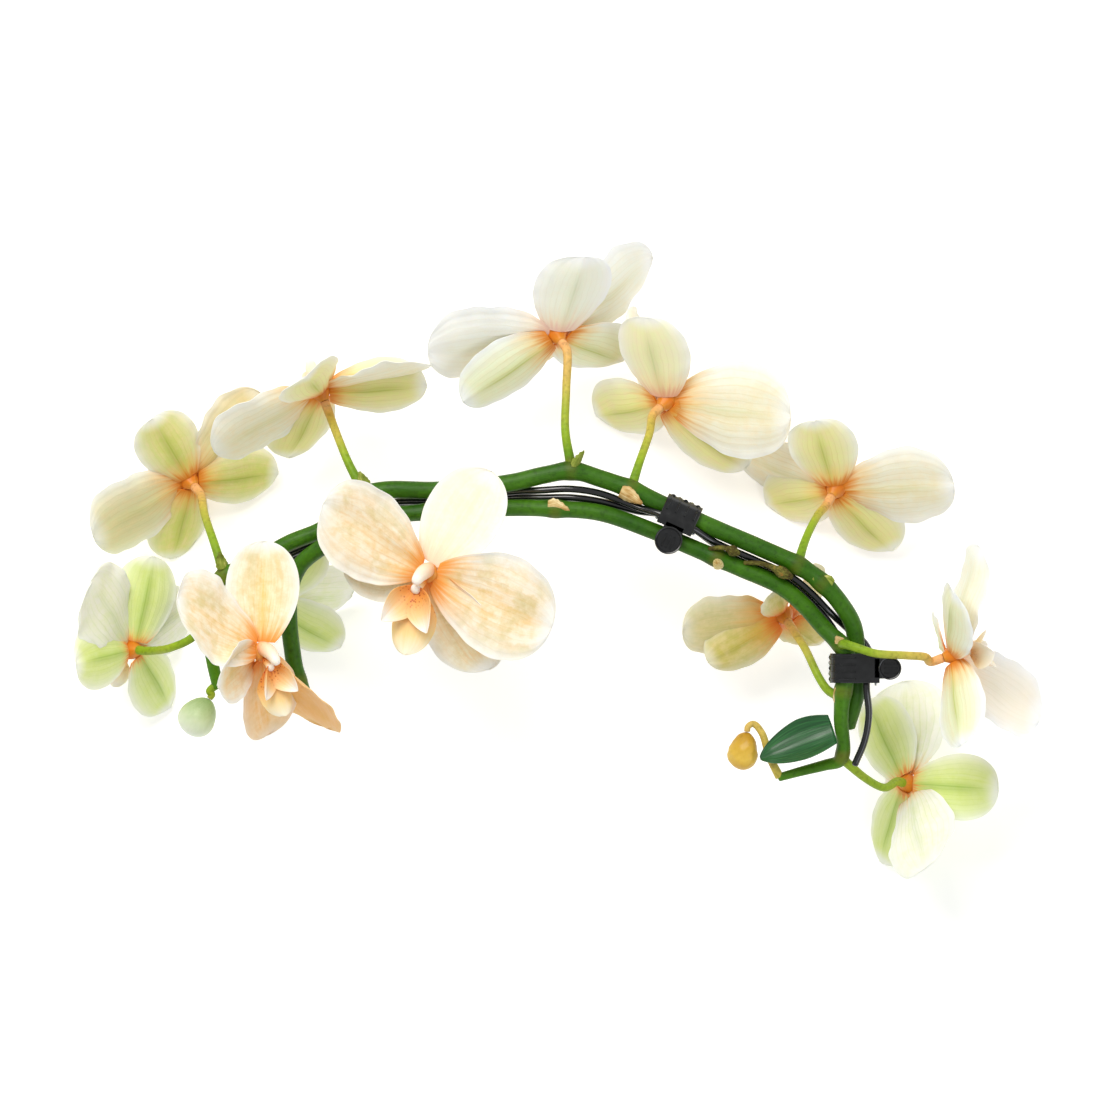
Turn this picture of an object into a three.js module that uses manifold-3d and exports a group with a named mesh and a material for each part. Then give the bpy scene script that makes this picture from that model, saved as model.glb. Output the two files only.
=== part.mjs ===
// Moth orchid: two arching flower spikes on a pair of support wires, held by two claw clips.
// Millimetres. +X to the right, +Y toward the top of the arch, +Z up from the surface it lies on.
import * as THREE from 'three';
import { mergeVertices } from 'three/addons/utils/BufferGeometryUtils.js';
import Module from 'manifold-3d';

const wasm = await Module();
wasm.setup();

// Driving dimensions
const bladeThickness = 0.8;
const dorsalSize = { length: 37, width: 25 };
const lateralSize = { length: 37, width: 24.5 };
const petalSize = { length: 43, width: 34 };
const coreRadius = 3.6;
const coreBack = 3;
const coreFront = 2.6;
const coreNeck = 1.8;
const coreWaist = 0.2;
const columnRadius = 2.3;
const columnSwell = 0.5;
const lobeSize = { length: 15, width: 10.5 };
const tongueSize = { length: 21, width: 14 };
const lipThickness = 0.9;
const clawRadius = 1.4;
const seatGap = 0.3;
const stalkRadius = 1.35;
const upperSpikeRadius = 3.0;
const lowerSpikeRadius = 2.85;
const wireRadius = 1.2;
const greenBudLength = 14;
const greenBudWidth = 12.5;
const yellowBudLength = 13;
const yellowBudWidth = 10;
const leafSize = { length: 27, width: 15 };
const leafThickness = 1.1;
const sliverSize = 0.02;

const materials = {
  spike: new THREE.MeshStandardMaterial({ color: '#2f7a1a', roughness: 0.5, metalness: 0 }),
  peach: new THREE.MeshStandardMaterial({ color: '#f1e2bd', roughness: 0.6, metalness: 0 }),
  green: new THREE.MeshStandardMaterial({ color: '#d3df9c', roughness: 0.6, metalness: 0 }),
  lip: new THREE.MeshStandardMaterial({ color: '#f0a85c', roughness: 0.55, metalness: 0 }),
  bud: new THREE.MeshStandardMaterial({ color: '#a8c080', roughness: 0.55, metalness: 0 }),
  witheredBud: new THREE.MeshStandardMaterial({ color: '#d8b33c', roughness: 0.7, metalness: 0 }),
  leaf: new THREE.MeshStandardMaterial({ color: '#1e5a2a', roughness: 0.4, metalness: 0 }),
  wire: new THREE.MeshStandardMaterial({ color: '#0c0d10', roughness: 0.25, metalness: 0 }),
  clip: new THREE.MeshStandardMaterial({ color: '#2c3033', roughness: 0.4, metalness: 0 }),
  steel: new THREE.MeshStandardMaterial({ color: '#c9ccd0', roughness: 0.3, metalness: 1 }),
};

const vector = (p) => new THREE.Vector3(p[0], p[1], p[2]);
const radians = THREE.MathUtils.degToRad;

// Solids

function toSolid(geometry) {
  const bare = geometry.clone();
  bare.deleteAttribute('normal');
  bare.deleteAttribute('uv');
  const merged = mergeVertices(bare, 1e-5);
  return new wasm.Manifold(new wasm.Mesh({
    numProp: 3,
    vertProperties: new Float32Array(merged.attributes.position.array),
    triVerts: new Uint32Array(merged.index.array),
  }));
}

function toGeometry(solid) {
  const mesh = solid.simplify(sliverSize).getMesh();
  const geometry = new THREE.BufferGeometry();
  geometry.setAttribute('position', new THREE.BufferAttribute(new Float32Array(mesh.vertProperties), 3));
  geometry.setIndex(new THREE.BufferAttribute(new Uint32Array(mesh.triVerts), 1));
  geometry.computeVertexNormals();
  return geometry;
}

function fuse(geometries) {
  const [first, ...others] = geometries.map(toSolid);
  return others.reduce((whole, piece) => whole.add(piece), first);
}

const group = new THREE.Group();

function place(name, shape, material, parent = group) {
  const geometry = shape.isBufferGeometry ? shape : toGeometry(shape);
  const mesh = new THREE.Mesh(geometry, material);
  mesh.name = name;
  parent.add(mesh);
  return mesh;
}

// A mesh from its points and the three corners of each triangle
function gridGeometry(points, triangles) {
  const geometry = new THREE.BufferGeometry();
  const numbers = points.flatMap((p) => [p.x, p.y, p.z]);
  geometry.setAttribute('position', new THREE.Float32BufferAttribute(numbers, 3));
  geometry.setIndex(triangles);
  return geometry;
}

// A round rod along a smooth path, its radius given at each place along it.
function rod(pathPoints, radiusAt, steps, sides) {
  const path = new THREE.CatmullRomCurve3(pathPoints.map(vector));
  const frames = path.computeFrenetFrames(steps, false);
  const points = [];
  const triangles = [];
  for (let i = 0; i <= steps; i += 1) {
    const centre = path.getPointAt(i / steps);
    const radius = radiusAt(i / steps, centre);
    for (let j = 0; j < sides; j += 1) {
      const angle = (2 * Math.PI * j) / sides;
      points.push(centre.clone()
        .addScaledVector(frames.normals[i], radius * Math.cos(angle))
        .addScaledVector(frames.binormals[i], radius * Math.sin(angle)));
    }
  }
  for (let i = 0; i < steps; i += 1) {
    for (let j = 0; j < sides; j += 1) {
      const a = i * sides + j;
      const b = i * sides + ((j + 1) % sides);
      triangles.push(a, b, a + sides, b, b + sides, a + sides);
    }
  }
  const start = points.push(path.getPointAt(0)) - 1;
  const end = points.push(path.getPointAt(1)) - 1;
  for (let j = 0; j < sides; j += 1) {
    const next = (j + 1) % sides;
    triangles.push(start, next, j);
    triangles.push(end, steps * sides + j, steps * sides + next);
  }
  return gridGeometry(points, triangles);
}

// A thin sheet of even thickness over surface(s, v), with s along it from 0 to 1 and v across from -1 to 1.
function sheet(surface, stations, columns, thickness = bladeThickness) {
  const step = 0.01;
  const across = columns.length;
  const front = [];
  const back = [];
  for (const s of stations) {
    for (const v of columns) {
      const along = surface(s + step, v).sub(surface(s - step, v));
      const side = surface(s, v + step).sub(surface(s, v - step));
      const normal = side.cross(along).normalize();
      front.push(surface(s, v).addScaledVector(normal, thickness / 2));
      back.push(surface(s, v).addScaledVector(normal, -thickness / 2));
    }
  }
  const count = front.length;
  const triangles = [];
  const rim = [];
  const last = stations.length - 1;
  for (let i = 0; i < last; i += 1) {
    for (let j = 0; j < across - 1; j += 1) {
      const a = i * across + j;
      const [b, c, d] = [a + 1, a + across, a + across + 1];
      triangles.push(a, b, c, b, d, c);
      triangles.push(count + a, count + c, count + b, count + b, count + c, count + d);
    }
  }
  for (let j = 0; j < across - 1; j += 1) rim.push([j + 1, j]);
  for (let i = 0; i < last; i += 1) rim.push([i * across, (i + 1) * across]);
  for (let j = 0; j < across - 1; j += 1) rim.push([last * across + j, last * across + j + 1]);
  for (let i = last; i > 0; i -= 1) rim.push([(i + 1) * across - 1, i * across - 1]);
  for (const [from, to] of rim) {
    triangles.push(from, to, count + from, to, count + to, count + from);
  }
  return gridGeometry([...front, ...back], triangles);
}

// Blades of a bloom

const bladeStations = [0, 0.26, 0.54, 0.8, 0.95, 1];
const bladeColumns = [-1, 0, 1];
const tipHalfWidth = 0.8;

// Outline of a blade: opens from its narrow foot to its widest place, then closes round the tip.
function halfWidth(s, shape) {
  const clamped = Math.min(Math.max(s, 0), 1);
  if (clamped < shape.widest) {
    const open = Math.sin((Math.PI / 2) * (clamped / shape.widest)) ** shape.opening;
    return (shape.width / 2) * (shape.foot + (1 - shape.foot) * open);
  }
  const close = (clamped - shape.widest) / (1 - shape.widest);
  return Math.max((shape.width / 2) * (1 - close ** shape.tip) ** (1 / shape.tip), tipHalfWidth);
}

// The blade runs along +Y from the origin, with its front face toward +Z.
function bladeSurface(shape) {
  return (s, v) => {
    const half = halfWidth(s, shape);
    const edge = v * v;
    const depth = shape.bow * s * s * shape.length
      + shape.cup * edge * half
      + shape.wave * edge * Math.sin(shape.ripples * Math.PI * s + v)
      - shape.keel * Math.max(0, 1 - Math.abs(v)) * Math.sin(Math.PI * Math.min(Math.max(s, 0), 1));
    return new THREE.Vector3(v * half, s * shape.length, depth);
  };
}

const sepalForm = {
  widest: 0.55, foot: 0.38, opening: 0.85, tip: 2.1,
  bow: -0.02, cup: 0.2, keel: 0.7, wave: 0.25, ripples: 3,
};
const petalForm = {
  widest: 0.58, foot: 0.26, opening: 0.85, tip: 2.3,
  bow: 0.03, cup: 0.08, keel: 0.5, wave: 0.7, ripples: 3.4,
};

// Turns a blade to its direction in the bloom: azimuth round the heart, lift toward the front and twist.
function aim(geometry, [azimuth, lift, twist], footRadius, footHeight) {
  const turn = new THREE.Matrix4()
    .makeRotationZ(radians(azimuth - 90))
    .multiply(new THREE.Matrix4().makeRotationX(radians(lift)))
    .multiply(new THREE.Matrix4().makeRotationY(radians(twist)));
  geometry.applyMatrix4(turn);
  const direction = radians(azimuth);
  return geometry.translate(footRadius * Math.cos(direction), footRadius * Math.sin(direction), footHeight);
}

const bladeFoot = 2.8;
const sepalSeat = -0.6;
const petalSeat = 1.0;

function tepal(form, size, scale, [azimuth, lift, twist = 0, share = 1], height) {
  const length = size.length * scale * share - bladeFoot;
  const width = size.width * scale * share;
  const blade = sheet(bladeSurface({ ...form, length, width }), bladeStations, bladeColumns);
  return aim(blade, [azimuth, lift, twist], bladeFoot, height);
}

function core() {
  const profile = [
    [0, -coreBack], [coreNeck, -coreBack], [coreRadius, coreWaist], [coreRadius, coreFront], [0, coreFront],
  ];
  const outline = profile.map(([radius, height]) => new THREE.Vector2(radius, height));
  return new THREE.LatheGeometry(outline, 6).rotateX(Math.PI / 2);
}

const columnPath = [[0, 1.2, 1], [0, 1.5, 5], [0, 0.9, 9], [0, -0.6, 11.6]];

function column() {
  return rod(columnPath, (u) => columnRadius + columnSwell * (Math.sin(Math.PI * u) - u), 2, 5);
}

function bloomSolid({ size, dorsal, laterals, petals }) {
  return fuse([
    core(),
    column(),
    tepal(sepalForm, dorsalSize, size, dorsal, sepalSeat),
    ...laterals.map((pose) => tepal(sepalForm, lateralSize, size, pose, sepalSeat)),
    ...petals.map((pose) => tepal(petalForm, petalSize, size, pose, petalSeat)),
  ]);
}

// The lip: a short claw, two side lobes and a folded middle lobe, in front of the core.
const lobeForm = {
  ...lobeSize, widest: 0.45, foot: 0.14, opening: 1, tip: 1.35,
  bow: 0.1, cup: 0.45, keel: 0, wave: 0, ripples: 0,
};
const tongueForm = {
  ...tongueSize, widest: 0.5, foot: 0.16, opening: 1, tip: 2.2,
  bow: 0.12, cup: -0.5, keel: 0, wave: 0.3, ripples: 3,
};
const lobeStations = [0, 0.5, 1];
const lobeColumns = [-1, 0, 1];
const lipSeat = [0, -2.6, coreFront + 0.5];
const clawPath = [[0, 0, 0], [0, -2, 5.2]];
const lobeFeet = [[0.5, -1.4, 3.9], [-0.5, -1.4, 3.9]];
const tongueFoot = [0, -1.3, 4.1];

function lobe(form, pose, foot) {
  const blade = sheet(bladeSurface(form), lobeStations, lobeColumns, lipThickness);
  return aim(blade, pose, 0, 0).translate(...foot);
}

function lipSolid({ lip = 1, lobes = [[322, 30, 40], [218, 30, -40]], tongue = [270, 12, 0] }) {
  const whole = fuse([
    rod(clawPath, () => clawRadius, 1, 5),
    ...lobes.map((pose, side) => lobe(lobeForm, pose, lobeFeet[side])),
    lobe(tongueForm, tongue, tongueFoot),
  ]);
  return whole.scale(lip).translate(lipSeat);
}

// Turns the bloom's own frame, facing +Z with its crown toward +Y, to its place in the spray.
function bloomMatrix({ heart, facing, crown }) {
  const front = vector(facing).normalize();
  const side = vector(crown).cross(front).normalize();
  const up = front.clone().cross(side);
  return new THREE.Matrix4().makeBasis(side, up, front).setPosition(vector(heart));
}

// Blooms: where each heart is, which way it faces and where its crown points. Each blade has its azimuth,
// lift and twist, and its share of full length. The lip has its own scale, and may have its own lobe poses.
// The stalk is the way from the spike to the back of the bloom.
const blooms = {
  bloom_01: {
    heart: [-125, 27, 20.6], facing: [-0.45, 0.52, -0.72], crown: [-0.42, 0.58, 0.7], size: 0.9,
    lip: 0.7, dorsal: [95, 4, -5], laterals: [[309, 8, 5], [219, 0, -8]],
    petals: [[13, -4], [171, 6, 8]], tint: 'peach', spike: 'upper',
    stalk: [[-113, -4.4, 50], [-116, 5, 47], [-119.5, 15, 40]],
  },
  bloom_02: {
    heart: [-80, 57, 36], facing: [-0.35, 0.9, -0.26], crown: [-0.25, 0.2, 0.95], size: 0.97, lip: 0.6,
    dorsal: [95, -2, 15], laterals: [[312, -13, 12], [198, -15, -35]],
    petals: [[7, -10, 16], [176, -14, 4, 0.96]], tint: 'peach', spike: 'upper',
    stalk: [[-66, 24.5, 58], [-70.5, 33, 55], [-75, 44, 49]],
  },
  bloom_03: {
    heart: [0.5, 76.5, 45], facing: [-0.4, 0.66, -0.62], crown: [0.2, 0.74, 0.62], size: 1.06,
    dorsal: [89, -3, -15], laterals: [[324, -1, 6], [213, 10, 12]],
    petals: [[-13, 12, 0, 0.98], [158, 18, 4, 0.98]], tint: 'peach', spike: 'upper',
    stalk: [[5, 32, 58], [3, 44, 57], [3.3, 58, 52]],
  },
  bloom_04: {
    heart: [37, 54, 33.3], facing: [0.55, 0.56, -0.62], crown: [-0.05, 0.76, 0.65], size: 1.02,
    dorsal: [82, -2, 15], laterals: [[326, 7, -5], [227, 18, -16]],
    petals: [[3, 37, 0, 0.95], [179, 18, -20]], tint: 'peach', spike: 'upper',
    stalk: [[25.3, 24.5, 58], [28, 33, 55], [31.5, 43, 48]],
  },
  bloom_05: {
    heart: [95, 24, 27.2], facing: [0.4, 0.66, -0.64], crown: [-0.07, 0.71, 0.7], size: 0.95,
    dorsal: [83, -4, 20], laterals: [[325, 10, 8], [242, 15, -18]],
    petals: [[-5, 10, -5], [175, 17, -4]], tint: 'peach', spike: 'upper',
    stalk: [[81.8, -1.5, 58], [84.5, 7, 52], [88.5, 15, 44]],
  },
  bloom_06: {
    heart: [-144.3, -30.3, 24.6], facing: [-0.58, 0.05, -0.8], crown: [0.18, 0.97, 0], size: 0.88,
    lip: 0.5, dorsal: [90, -5, -20], laterals: [[344, -18, 5], [214, 22]],
    petals: [[34, -22, 8], [140, 4, 14, 0.8]], tint: 'green', spike: 'upper',
    stalk: [[-118.5, -20, 47], [-124, -26.2, 46], [-131.4, -29.6, 42]],
  },
  bloom_07: {
    heart: [-43, -3.7, 84], facing: [-0.35, -0.2, 0.91], crown: [0.35, 0.88, 0.3], size: 1.08, lip: 1.1,
    dorsal: [83, -17], laterals: [[317, -17, 6, 1.02], [202, -21, -6]],
    petals: [[1, -6], [175, -8, -8, 0.96]], lobes: [[316, 22, 14], [248, 26, -26]], tongue: [285, 8, 0],
    tint: 'peach', spike: 'lower', stalk: [[-43, 16.7, 58], [-41, 10, 64], [-39.5, 2, 72]],
  },
  bloom_08: {
    heart: [77.7, -19, 30], facing: [-0.35, 0.55, -0.75], crown: [-0.05, 0.75, 0.6], size: 0.82,
    lip: 0.62, dorsal: [75, -24, 20, 0.73], laterals: [[338, 6, 18], [236, 20, 20, 0.92]],
    petals: [[0, 8, -8], [198, 41, -10, 0.84]], tint: 'peach', spike: 'lower',
    stalk: [[97.2, -46.5, 57.6], [92.3, -44, 53.6], [89.4, -40, 51], [84.6, -30, 46]],
  },
  bloom_09: {
    heart: [119.5, -76, 21.2], facing: [0.45, -0.1, -0.88], crown: [0.88, -0.1, 0.46], size: 0.92,
    lip: 0.44, dorsal: [87, 6, 4], laterals: [[323, 8, -8], [205, 30, 8]],
    petals: [[-20, 18, 5], [147, -27, 10, 0.94]], tint: 'green', spike: 'lower',
    stalk: [[96.4, -66.6, 50.8], [104.9, -73.8, 45], [111.5, -77.2, 37]],
  },
  bloom_10: {
    heart: [-100, -30.3, 80], facing: [0.45, -0.25, 0.86], crown: [-0.05, 0.95, 0.31], size: 1.0,
    lip: 0.84, dorsal: [78, -12, -32], laterals: [[281, -18, -12], [188, 40, -8, 0.84]],
    petals: [[-52, -8, 78, 0.98], [142, 8, 42]], lobes: [[310, 34, 30], [238, 30, -30]],
    tongue: [277, 12, 0], tint: 'peach', spike: 'lower',
    stalk: [[-90.5, -18, 52.5], [-97, -21, 60], [-102, -25.5, 68]],
  },
  bloom_11: {
    heart: [-100, -14, 27.4], facing: [-0.1, 0.65, -0.75], crown: [0.3, 0.7, 0.6], size: 0.87, lip: 0.4,
    dorsal: [106, -3, -13], laterals: [[281, 13, 0, 0.75], [198, -7, 5]],
    petals: [[318, 28, 0, 0.7], [184, 23, 5]], tint: 'green', spike: 'lower',
    stalk: [[-90.5, -12, 54], [-92.5, -16, 45], [-96, -19.3, 36]],
  },
  bloom_12: {
    heart: [134, -32, 56], facing: [0.93, 0.3, -0.2], crown: [-0.22, 0.15, -0.96], size: 0.92, lip: 0.7,
    dorsal: [90, 12, -12], laterals: [[222, 5, 5], [324, -15, -38]],
    petals: [[194, 25, -4], [4, 38, 44]], tint: 'peach', spike: 'lower',
    stalk: [[96.5, -28.5, 60], [98, -28.3, 64.5], [102, -29.5, 67.6],
      [108, -31.3, 68.2], [118, -32, 67.2], [125, -32.6, 62.4]],
  },
};

// The stalk ends on the bloom's own axis, a hair behind its core.
const stalkLead = 4.5;

function stalkPath({ heart, facing, stalk }) {
  const front = vector(facing).normalize();
  const end = vector(heart).addScaledVector(front, -(coreBack + seatGap));
  const before = vector(heart).addScaledVector(front, -(coreBack + stalkLead));
  return [...stalk, before.toArray(), end.toArray()];
}

function stalkRod(bloom) {
  return rod(stalkPath(bloom), (u) => stalkRadius + 0.5 * (1 - u) ** 6 + 0.25 * u ** 4, 6, 5);
}

// Spikes

const upperSpike = [
  [98.6, -56, 49.5], [101.9, -44, 53.6], [102, -36, 54.1], [100.8, -22.5, 55.6], [96.4, -14.5, 57.5],
  [90.3, -7.6, 58], [82.8, -2, 58], [69.2, 4.4, 58], [55.6, 10.2, 58], [42, 16.3, 58],
  [33.8, 20.2, 58], [25.3, 24.3, 58], [14.8, 28, 58], [5.4, 30.6, 58], [-4, 29.2, 58],
  [-15.8, 26.5, 58], [-39.6, 24, 58], [-61.7, 23.4, 58], [-72, 17.5, 56.5], [-79, 11, 55],
  [-91, 6, 54], [-104.5, -1.4, 52], [-113, -5, 50], [-117.6, -12, 48.5], [-118.6, -22, 47],
  [-117, -34, 46], [-115, -43, 45],
];
const lowerSpike = [
  [-84.5, -48.5, 48], [-87.9, -40.5, 50], [-89.8, -30, 51.5], [-90.8, -20, 52.5], [-90.4, -9.8, 54],
  [-87, -1.5, 56], [-79.7, 4.6, 59.5], [-70.2, 10.8, 59.5], [-58.3, 15, 58], [-43, 16.7, 58],
  [-15.8, 18, 58], [-0.5, 17.7, 58], [14.8, 16.3, 58], [31.8, 10.5, 58], [45.4, 4.8, 58],
  [54.2, 1, 58], [62.4, -2.6, 58], [76, -8.7, 58], [83.8, -15, 58], [90.3, -22.3, 58],
  [98.1, -30.8, 59.3], [98.9, -36.5, 59.4], [97.3, -44, 58.4], [96.6, -54, 56], [97.4, -64, 52],
  [96, -68, 50], [91.3, -69.4, 48.5], [82.8, -71.6, 47.5], [75.6, -73.6, 47],
];
const upperNodes = [
  [90.3, -7.6, 58], [81.8, -1.5, 58], [25.3, 24.5, 58], [5, 30.8, 58], [-65, 22.6, 58],
  [-113, -5, 50], [-118.5, -20, 47],
];
const lowerNodes = [
  [-87.9, -40.5, 50], [-43, 16.7, 58], [-0.5, 17.7, 58], [54.2, 1, 58],
  [96.4, -28.8, 58.6], [97.3, -44, 58.4], [97.4, -66, 51],
];
const nodeSwelling = 0.45;
const nodeReach = 3;
const spikeSteps = 50;
const spikeSides = 6;

// A spike keeps its radius along most of its length, thins over its last part, and swells at each node.
function spikeRadius(full, tip, thinsFrom, nodes) {
  return (u, centre) => {
    const thin = Math.max(0, (u - thinsFrom) / (1 - thinsFrom));
    const nearness = nodes.map((node) => Math.exp(-((centre.distanceTo(vector(node)) / nodeReach) ** 2)));
    const swell = nearness.reduce((sum, near) => sum + near, 0);
    return full + (tip - full) * thin + nodeSwelling * Math.min(swell, 1);
  };
}

// A dried scale that hugs a node: a short pointed blade lying on the spike.
const scaleForm = {
  widest: 0.3, foot: 0.75, opening: 1, tip: 1.3, bow: 0.1, cup: -0.45, keel: 0, wave: 0, ripples: 0,
};
const scaleThickness = 0.9;

function scale(place, direction, outward, length, width) {
  const surface = bladeSurface({ ...scaleForm, length, width });
  const geometry = sheet(surface, lobeStations, lobeColumns, scaleThickness);
  const along = vector(direction).normalize();
  const side = along.clone().cross(vector(outward)).normalize();
  const up = side.clone().cross(along);
  return geometry.applyMatrix4(new THREE.Matrix4().makeBasis(side, along, up).setPosition(vector(place)));
}

// A little shrivelled bud on its thread of a stalk, lying along the spike.
const threadRadius = 0.8;
const bodyPlace = 0.8;
const bodySpread = 0.16;

function driedBud(path, bodyRadius) {
  const bulge = (u) => Math.exp(-(((u - bodyPlace) / bodySpread) ** 2));
  return rod(path, (u) => threadRadius + bodyRadius * bulge(u), 6, 6);
}

function cutStub(from, to, radius) {
  return rod([from, to], () => radius, 1, 7);
}

const upperScales = [
  [[21.5, 23.2, 60.8], [1, -0.45, 0], [-0.3, -0.5, 0.9], 8.5, 6],
  [[6.8, 31.6, 60.2], [0.35, 1, 0.2], [0.8, -0.3, 0.6], 6.5, 5],
  [[93.2, -9, 60.3], [-1, 0.5, 0], [0, -0.3, 1], 7, 6.5],
  [[-64, 25, 60.2], [-0.6, 1, -0.1], [0.4, 0.3, 0.9], 6, 5],
  [[-112.5, -2.6, 52], [-0.4, 1, -0.1], [0.5, 0.3, 0.8], 6, 5],
];
const lowerScales = [
  [[-3, 18, 60.4], [1, -0.05, 0], [0.1, -0.7, 0.7], 7.5, 6.5],
  [[97.9, -29.9, 61.3], [-0.6, 0.8, 0.15], [0.1, 0, 1], 5.5, 5],
  [[95.2, -48.4, 59.2], [-0.05, 1, 0.1], [-0.6, 0, 0.8], 5.5, 4.5],
  [[-88.5, -40.5, 52.6], [0.3, -1, 0], [0.4, 0.2, 0.9], 5, 4.5],
];

const yellowBudWay = [[75.8, -73.4, 47], [72.4, -66.5, 48], [69.8, -58.5, 48.5], [67, -55.4, 48.4]];

const buds = {
  green: { centre: [-121.6, -53, 44], toward: [-0.5, -0.85, -0.1] },
  yellow: { centre: [63.8, -64.6, 48], toward: [-0.15, -1, -0.1] },
};

function budStalk(bud, length, path) {
  const toward = vector(bud.toward).normalize();
  const top = vector(bud.centre).addScaledVector(toward, -(length / 2 + seatGap));
  const before = top.clone().addScaledVector(toward, -1.6);
  return rod([...path, before.toArray(), top.toArray()], (u) => 1.5 - 0.45 * u, 6, 5);
}

const blooming = (side) => Object.values(blooms).filter((bloom) => bloom.spike === side).map(stalkRod);

function upperSpikeSolid() {
  return fuse([
    rod(upperSpike, spikeRadius(upperSpikeRadius, 2, 0.72, upperNodes), spikeSteps, spikeSides),
    ...blooming('upper'),
    ...upperScales.map((s) => scale(...s)),
    cutStub([-118, -20, 47], [-127.6, -16.8, 50], 1.5),
    budStalk(buds.green, greenBudLength, [[-115.4, -42, 45], [-118, -44.4, 45]]),
  ]);
}

function lowerSpikeSolid() {
  return fuse([
    rod(lowerSpike, spikeRadius(lowerSpikeRadius, 1.4, 0.85, lowerNodes), spikeSteps, spikeSides),
    ...blooming('lower'),
    ...lowerScales.map((s) => scale(...s)),
    cutStub([54.2, 1, 58], [55, -1.6, 61.4], 1.9),
    driedBud([[52, 4.2, 60.3], [57, 4.4, 61.9], [61.5, 2.6, 62.4]], 1.1),
    driedBud([[64, -0.6, 60], [70, -1, 61.8], [79.5, -5.4, 62.3]], 1.2),
    budStalk(buds.yellow, yellowBudLength, yellowBudWay),
  ]);
}

// A bud: a rounded egg with shallow seams where its blades meet.
const budTaper = 0.18;
const budSeams = 3;

function budGeometry(length, width, seams, seamDepth, wrinkle) {
  const geometry = new THREE.SphereGeometry(1, 10, 6);
  const positions = geometry.attributes.position;
  for (let i = 0; i < positions.count; i += 1) {
    const p = new THREE.Vector3().fromBufferAttribute(positions, i);
    const angle = Math.atan2(p.z, p.x);
    const taper = 1 - budTaper * p.y;
    const seam = 1 - seamDepth * Math.cos(seams * angle) - wrinkle * Math.sin(5 * p.y + 2 * angle);
    const across = (width / 2) * taper * seam;
    positions.setXYZ(i, p.x * across, p.y * (length / 2), p.z * across);
  }
  return geometry;
}

function turnedTo(geometry, { centre, toward }) {
  const tipWay = new THREE.Vector3(0, -1, 0);
  const turn = new THREE.Quaternion().setFromUnitVectors(tipWay, vector(toward).normalize());
  return geometry.applyQuaternion(turn).translate(...centre);
}

// Leaf at the foot of the lower spike
function leafGeometry() {
  const form = {
    ...leafSize, widest: 0.4, foot: 0.7, opening: 1, tip: 1.5,
    bow: -0.06, cup: 0.35, keel: 0.5, wave: 0.4, ripples: 2,
  };
  const blade = sheet(bladeSurface(form), bladeStations, bladeColumns, leafThickness);
  const along = new THREE.Vector3(-1, -0.36, -0.12).normalize();
  const side = along.clone().cross(new THREE.Vector3(0.1, 0.45, 1)).normalize();
  const up = side.clone().cross(along);
  return blade.applyMatrix4(new THREE.Matrix4().makeBasis(side, along, up).setPosition(94.1, -57.6, 55));
}

// Support wires

const outerWire = [
  [-112.5, -26, 48], [-111.5, -16, 49], [-108.8, -9, 49.3], [-103, -5.6, 49.5], [-91, 1.8, 49.6],
  [-79.5, 7, 50.4], [-70, 13.8, 52.3], [-58, 19.4, 54], [-40, 20.4, 54.6], [-15, 23.4, 54.6],
  [-5, 24, 57.6], [5, 24.4, 58.3], [14.8, 22.9, 57.6], [27.6, 18.2, 57.8], [35.5, 15.8, 61],
  [40.9, 13.4, 61.4], [46.3, 11, 61], [54, 6.2, 57.8], [67.2, 0.4, 57.6], [80.1, -5.7, 57.6],
  [87, -11.4, 57.3], [92.6, -17.2, 56], [96.4, -20.8, 53], [100, -24, 51.2], [104.4, -27.6, 51],
  [106.3, -31, 52.8], [106.3, -34, 55.2], [105.4, -37.5, 58], [105.2, -43.5, 59.2], [106, -52, 57],
  [104.6, -61, 54.5], [101.4, -69, 52.5],
];
const innerWire = [
  [-110.3, -27, 45.3], [-109.2, -17, 46.2], [-106.6, -10.5, 46.5], [-102, -7, 46.6], [-91, 0.6, 46.8],
  [-79, 6, 47.7], [-70, 13, 49.6], [-58, 18.6, 51.3], [-40, 19.6, 51.9], [-15, 21.4, 52.7],
  [-5, 21.5, 55.4], [5, 21.5, 56.6], [14.8, 20.2, 56], [27.5, 16.9, 54.9], [35.5, 15.8, 54.6],
  [40.9, 13.4, 54.6], [46.3, 11, 54.6], [54, 5.6, 54.6], [67, -0.6, 54.6], [79.4, -6.7, 54.8],
  [85.8, -12.8, 54.6], [91.2, -19, 54.2], [95.6, -26, 53.2], [97.2, -32, 53.6], [97.2, -39.5, 53.9],
];

const wireRod = (path) => rod(path, () => wireRadius, 40, 6);

// Claw clip: pin along X, claws toward +Y, thumb tabs toward -Y. The upper jaw lies above the pin.
const plateThickness = 1.1;
const knuckleRadius = 1.25;
const knuckleLength = 2.2;
const innerKnuckle = 0.35;
const toothSpread = 0.365;
const pinHole = 0.75;
const pinRadius = 0.45;
const tabThickness = 1.1;
const tabRib = { width: 0.7, height: 0.8, reach: 5.6 };
const tabNeck = { width: 7, reach: 4.4, centre: -1.6 };
const lugRise = 2.4;
const lugInset = 0.05;
const toothReach = 0.9;
const toothFoot = 0.95;
const toothTip = 0.5;
const coilRadius = 1.0;
const coilPlaces = [-0.7, 0.7];

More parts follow.
